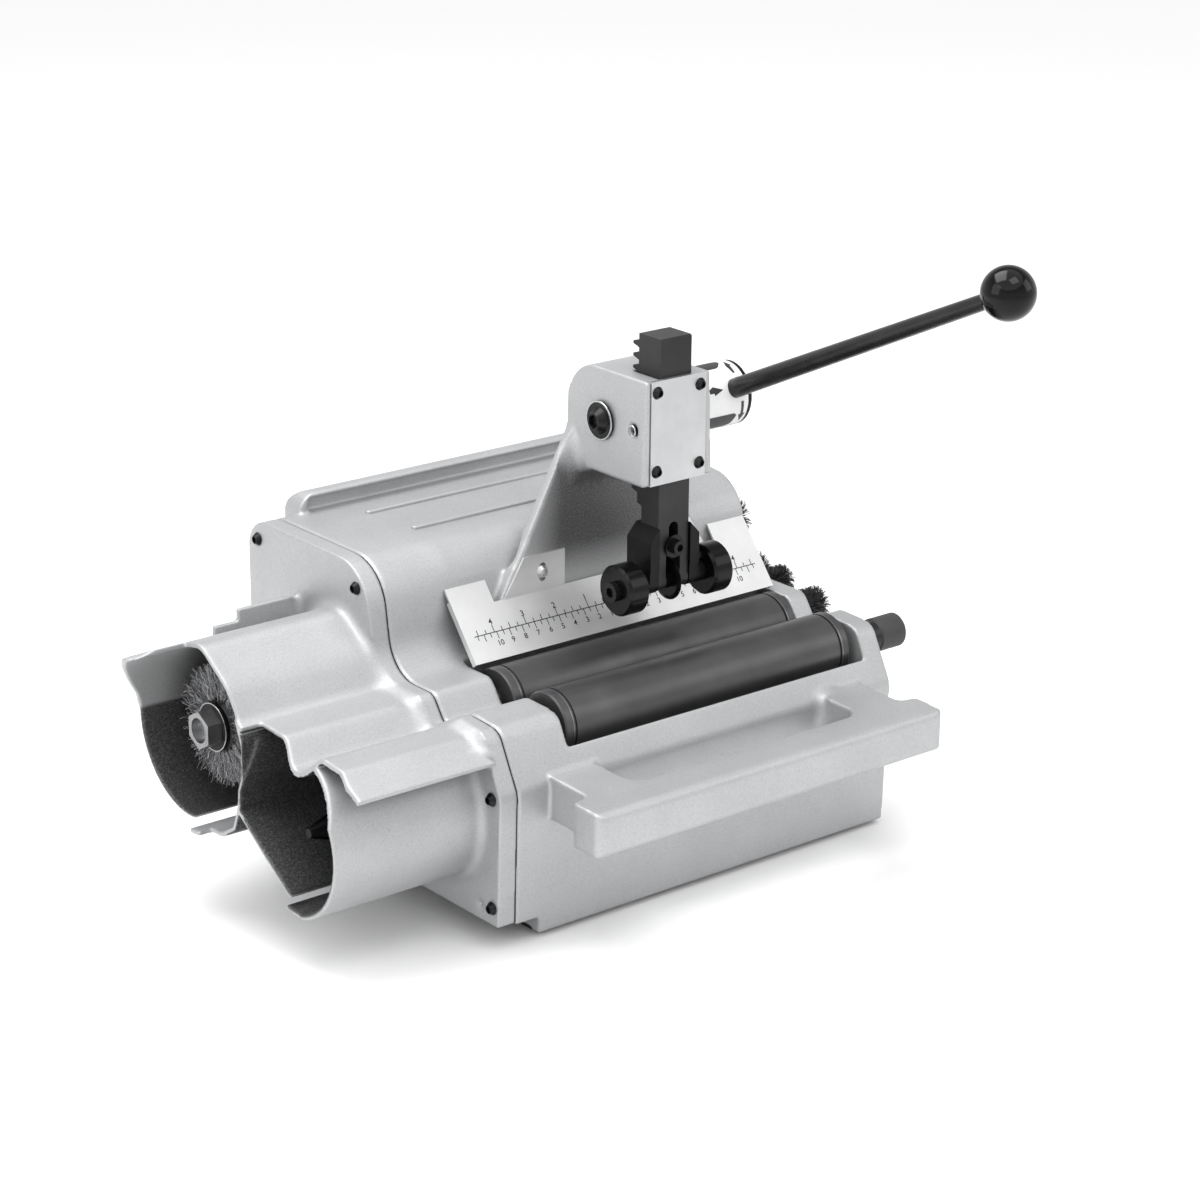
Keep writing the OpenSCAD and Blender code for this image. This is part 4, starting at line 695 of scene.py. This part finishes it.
# Two raised ribs on top of the body, cast in one with it.
rib_half, rib_sunk, rib_rise, rib_edge = 2.3, 0.4, 1.9, 0.9
for number, (left, right, middle) in enumerate(((-119, 76, 161.5), (-114, 76, 117.5)), 1):
    outline = rounded_box(mm(left), mm(middle - rib_half), mm(right), mm(middle + rib_half), mm(2))
    rib = pad(outline, mm(-rib_sunk), mm(rib_rise), mm(rib_edge),
              lambda u, v, w: Vector((u, v, mm(top_height) + w)))
    as_piece("top_rib_%d" % number, rib, casting, "body")

# Wire wheel: crimped steel wires, drawn thick enough to show, round a dark backing ring.
bristles = bristle_tree()
strand_radius = mm(0.17)
wheel_low, wheel_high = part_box("wire_wheel")
wheel_mid, wheel_wide = (wheel_low[0] + wheel_high[0]) / 2, wheel_high[0] - wheel_low[0]
wires = grown(bristles, Count=1500, Core=mm(14.0), Reach=mm(38.9), Length=wheel_wide * 0.9,
              Strand=strand_radius, Crimp=mm(9), Crimp_Scale=per_mm(3.2), Turns=0.0, Spread=math.pi,
              Splay=0.2, Bends=14, Seed=3, Finish=crimped_wire)
wires.transform(Matrix.Translation((wheel_mid, *[mm(v) for v in rear_axis])))
wheel_piece = as_piece("wheel_wires", wires, crimped_wire, "wheel_spindle")
ring_left, ring_right = wheel_low[0] * 1000, wheel_high[0] * 1000
ring_bore, ring_side, ring_rim, ring_bevel = 8.1, 15.2, 17.5, 2
as_piece("wheel_backing", lathe([
    (ring_left, ring_bore), (ring_left, ring_side), (ring_left + ring_bevel, ring_rim),
    (ring_right - ring_bevel, ring_rim), (ring_right, ring_side), (ring_right, ring_bore)], rear_axis),
    screw_black, "wheel_spindle")
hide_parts("wire_wheel")

bright_rim("wheel_flange_rim", -281, 15.4, rear_axis, "wheel_spindle")
bright_rim("pinion_washer_rim", -29.3, 12.6, pinion_axis, "pinion", 0.9)
bright_rim("gib_screw_rim", -28.3, 3.9, (3.1, pinion_axis[1]), "body", 0.8, 0.1)

# Fitting brushes: bristles in a double spiral round a twisted stem that ends in a small point.
stem_radius, stem_end, stem_point, stem_core = 2.0, 0.8, 1.4, 0.1
for number in range(1, 5):
    low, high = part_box("fitting_brush_%d" % number)
    reach = (high[1] - low[1]) / 2
    tuft = grown(bristles, Count=2600, Core=mm(1.2), Reach=reach * 1.1, Length=(high[0] - low[0]) * 0.96,
                 Strand=strand_radius, Crimp=mm(2.2), Crimp_Scale=per_mm(4), Turns=5.0, Spread=0.75,
                 Splay=0.16, Bends=4, Seed=20 + number, Finish=dark_bristle)
    tuft.transform(Matrix.Translation([(a + b) / 2 for a, b in zip(low, high)]))
    brush_piece = as_piece("brush_bristles_%d" % number, tuft, dark_bristle, "brush_%d" % number)
    start, end = to_mm(low), to_mm(high)
    stem = lathe([(start[0], stem_core), (start[0], stem_radius), (end[0] + stem_end, stem_radius),
                  (end[0] + stem_point, 1.2), (end[0] + stem_point, stem_core)],
                 [(start[1] + end[1]) / 2, (start[2] + end[2]) / 2], 16)
    as_piece("brush_stem_%d" % number, stem, bright_steel, "brush_%d" % number)
    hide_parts("fitting_brush_%d" % number)

# A paler steel ring at each end of each roller, beside its groove: a painted highlight along the groove's
# edge.
edge_near, edge_far, edge_sunk, edge_proud = 111.6, 112.1, 0.4, 0.03
for roller in ("front_roller", "rear_roller"):
    low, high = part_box(roller)
    start, end = to_mm(low), to_mm(high)
    centre = ((start[1] + end[1]) / 2, (start[2] + end[2]) / 2)
    radius = (end[2] - start[2]) / 2
    for side, where in ((-1, "left"), (1, "right")):
        near, far = side * edge_near, side * edge_far
        edge = lathe([(near, radius - edge_sunk), (near, radius + edge_proud), (far, radius + edge_proud),
                      (far, radius - edge_sunk)], centre, 96)
        as_piece("%s_edge_%s" % (roller, where), edge, nut_steel, roller)

# Scale on the slope of the plate: inches above the line, centimetres below it, counted from the wheel.
plate_tilt = math.radians(51.4)
plate_foot, plate_line = (36.2, 143.8), 17.8
inch, inch_step, centimetre_step = 25.4, 25.4 / 4, 5
line_half, line_reach, tick_wide = 0.3, 117.5, 0.6


def on_plate(u, v):
    """A place on the plate's slope, a hair above it, from metres across and up the slope."""
    lift = mm(0.04)
    rise = v + mm(plate_line)
    return Vector((u, mm(plate_foot[0]) + rise * math.cos(plate_tilt) - lift * math.sin(plate_tilt),
                   mm(plate_foot[1]) + rise * math.sin(plate_tilt) + lift * math.cos(plate_tilt)))


def off_plate(place):
    """The direction that the plate's slope faces."""
    return Vector((0, -math.sin(plate_tilt), math.cos(plate_tilt)))


ticks = tick_tree()
inches = grown(ticks, Count=37, First=mm(-inch_step * 18), Pitch=mm(inch_step), Line=mm(tick_wide),
               Short=mm(2.8), Middle=mm(3.9), Long=mm(5.2), Middle_Every=2.0, Long_Every=4.0, Long_Shift=2.0,
               Side=1.0, Finish=print_black)
centimetres = grown(ticks, Count=47, First=mm(-centimetre_step * 23), Pitch=mm(centimetre_step),
                    Line=mm(tick_wide), Short=mm(3.0), Middle=mm(3.0), Long=mm(4.7), Middle_Every=2.0,
                    Long_Every=2.0, Long_Shift=1.0, Side=-1.0, Finish=print_black)
print_meshes = [inches, centimetres]
for most, height, unit, above_foot in ((4, 4.0, inch, 24.9), (10, 3.7, 10, 10.1)):
    for count in range(1, most + 1):
        for side in (-1, 1):
            print_meshes.append(figure(
                str(count), mm(height), mm(side * count * unit), mm(above_foot - plate_line)))
scale_line = [(mm(u * line_reach), mm(v * line_half)) for u, v in ((-1, -1), (1, -1), (1, 1), (-1, 1))]
printed("scale_print", [scale_line], print_meshes, on_plate, off_plate, print_black, "body")

# White band round the lever's hub, with two dark fields and three arrows.
hub_radius = 21


def on_hub(u, v, lift=mm(0.05)):
    """A place on the hub, a hair above it, from metres along it and round it."""
    angle, reach = v / mm(hub_radius), mm(hub_radius) + lift
    return Vector((u, mm(pinion_axis[0]) - reach * math.cos(angle),
                   mm(pinion_axis[1]) + reach * math.sin(angle)))


def off_hub(place):
    """The direction away from the hub's axis."""
    return Vector((0, place.y - mm(pinion_axis[0]), place.z - mm(pinion_axis[1])))


def around(*points):
    """Places in the plane of the print, from millimetres along the hub and degrees round it."""
    return [(mm(x), mm(hub_radius) * math.radians(degrees)) for x, degrees in points]


def arrow(start, end, shaft, head):
    """An arrow's outline from tail to tip, with the widths of its shaft and head in millimetres."""
    tail, tip = [Vector(point) for point in around(start, end)]
    along = (tip - tail).normalized()
    across = Vector((-along.y, along.x))
    half, wing = across * mm(shaft) / 2, across * mm(head) / 2
    neck = tip - along * mm(head) * 1.3
    return [tuple(p) for p in (
        tail - half, neck - half, neck - wing, tip, neck + wing, neck + half, tail + half)]


(band_left, band_low), (band_right, band_high) = around((30.5, -58), (77.2, 140))
printed("hub_band", [rounded_box(band_left, band_low, band_right, band_high, mm(2))], [], on_hub, off_hub,
        vinyl_white, "pinion", step=mm(1))
slanted = around((30.6, -21), (66.5, -21), (69, -26), (67.5, -50), (64, -55), (30.6, -55))
upper = around((30.6, 71), (61, 71), (64, 74), (69, 88), (69.5, 98), (67, 104), (30.6, 104))
arrows = [arrow((71.6, 53), (73, 90), 1.8, 5), arrow((46, 26.5), (57.5, 26.5), 2.6, 6),
          arrow((72.1, 0), (74.0, -44), 2.2, 5.4)]
printed("hub_print", [slanted, upper, *arrows], [], lambda u, v: on_hub(u, v, mm(0.1)), off_hub,
        print_grey, "pinion", step=mm(1))

# Finishes of the pieces that show as the frame has them, and of the ones replaced above.
dress(face_plate, "head_plate")
dress(printed_sheet, "scale_plate")
dress(zinc_bright, "plate_screws")
dress(nut_steel, "wheel_nut")
dress(screw_black, "pinion_washer", "cover_screws", "head_screws", "gib_screw", "pinion_screw",
      "carrier_screw", "carrier_washer", "left_idler_screw", "right_idler_screw")
dress(phosphated, "rack")
dress(black_oxide, "carrier", "pinion", "cutter_pin", "reamer", "base_plate", "hub_drum", "wheel_flange")
dress(roller_black, "front_roller", "rear_roller")
dress(idler_black, "left_idler", "right_idler", "cutter_wheel")
dress(rod_black, "lever_rod", "stub_shaft")
dress(ball_gloss, "knob")
dress(bright_steel, "wheel_spindle", "reamer_spindle", *["brush_arbor_%d" % n for n in range(1, 5)])
dress(stub_rubber, "drive_stub", "feet")
dress(crimped_wire, "wire_wheel")
dress(dark_bristle, *["fitting_brush_%d" % n for n in range(1, 5)])
for piece in parts.values():
    smooth(piece.data, 35)


# Light, floor and camera

def lamp(name, place, aim, size, power):
    """A rectangular light of a size in metres, aimed at a place."""
    light = bpy.data.lights.new(name, "AREA")
    light.shape, light.energy = "RECTANGLE", power
    light.size, light.size_y = size
    holder = placed(name, light)
    holder.location = place
    holder.rotation_euler = (Vector(aim) - Vector(place)).to_track_quat("-Z", "Y").to_euler()


floor_reach = 8
floor_mesh = bpy.data.meshes.new("floor")
floor_corners = [(u * floor_reach, v * floor_reach, 0) for u, v in ((-1, -1), (1, -1), (1, 1), (-1, 1))]
floor_mesh.from_pydata(floor_corners, [], [(0, 1, 2, 3)])
floor = placed("floor", floor_mesh)
paper = finish("Pale paper", Base_Color=paint("#F4F4F4"), Roughness=0.9)[0]
floor_mesh.materials.append(paper)

lamp("top_light", (-0.35, 0.45, 1.9), (0, 0, 0.15), (1.5, 1.1), 27)
lamp("left_light", (-1.4, 0.15, 0.9), (-0.1, 0.05, 0.12), (1.0, 1.0), 5)
lamp("front_light", (0.0, -1.05, 2.1), (0, 0, 0.15), (1.0, 0.8), 8)
lamp("right_light", (1.25, -1.2, 1.1), (0, 0, 0.12), (0.9, 0.9), 4.5)
even = bpy.data.lights.new("even_light", "SUN")
even.energy, even.angle = 1.9, math.radians(100)
placed("even_light", even).rotation_euler = Vector((-0.2, -0.15, 1)).to_track_quat("Z", "Y").to_euler()

# White studio walls all round, and a darker ceiling.
scene = bpy.context.scene
scene.world = bpy.data.worlds.new("studio")
scene.world.use_nodes = True
studio = scene.world.node_tree
walls = studio.nodes["Background"]
walls.inputs["Color"].default_value = paint("#FFFFFF")
toward = add(studio, "ShaderNodeSeparateXYZ", {0: add(studio, "ShaderNodeTexCoord").outputs["Generated"]})
strength = ranged(studio, toward.outputs["Z"], 0.95, 0.25, start=0.1, end=0.8)
studio.links.new(strength, walls.inputs["Strength"])
scene.view_settings.view_transform = "Standard"

# Camera as it was solved from the photograph: place in metres, angles in degrees, focal length in pixels.
camera_place = (-1.26034, -1.47878, 0.85901)
focal_pixels, frame_pixels, sensor = 3237.764, 1200, 36
turn, tilt, lean = math.radians(39.190), math.radians(19.529), math.radians(0.533)
right = Vector((math.cos(turn), -math.sin(turn), 0))
back = Vector((-math.sin(turn) * math.cos(tilt), -math.cos(turn) * math.cos(tilt), math.sin(tilt)))
up = back.cross(right)
right, up = right * math.cos(lean) + up * math.sin(lean), up * math.cos(lean) - right * math.sin(lean)
lens = bpy.data.cameras.new("camera")
lens.sensor_width, lens.lens = sensor, focal_pixels / frame_pixels * sensor
camera = placed("camera", lens)
camera.matrix_world = Matrix([(right[k], up[k], back[k], camera_place[k]) for k in range(3)] + [(0, 0, 0, 1)])
scene.camera = camera

bpy.context.view_layer.update()
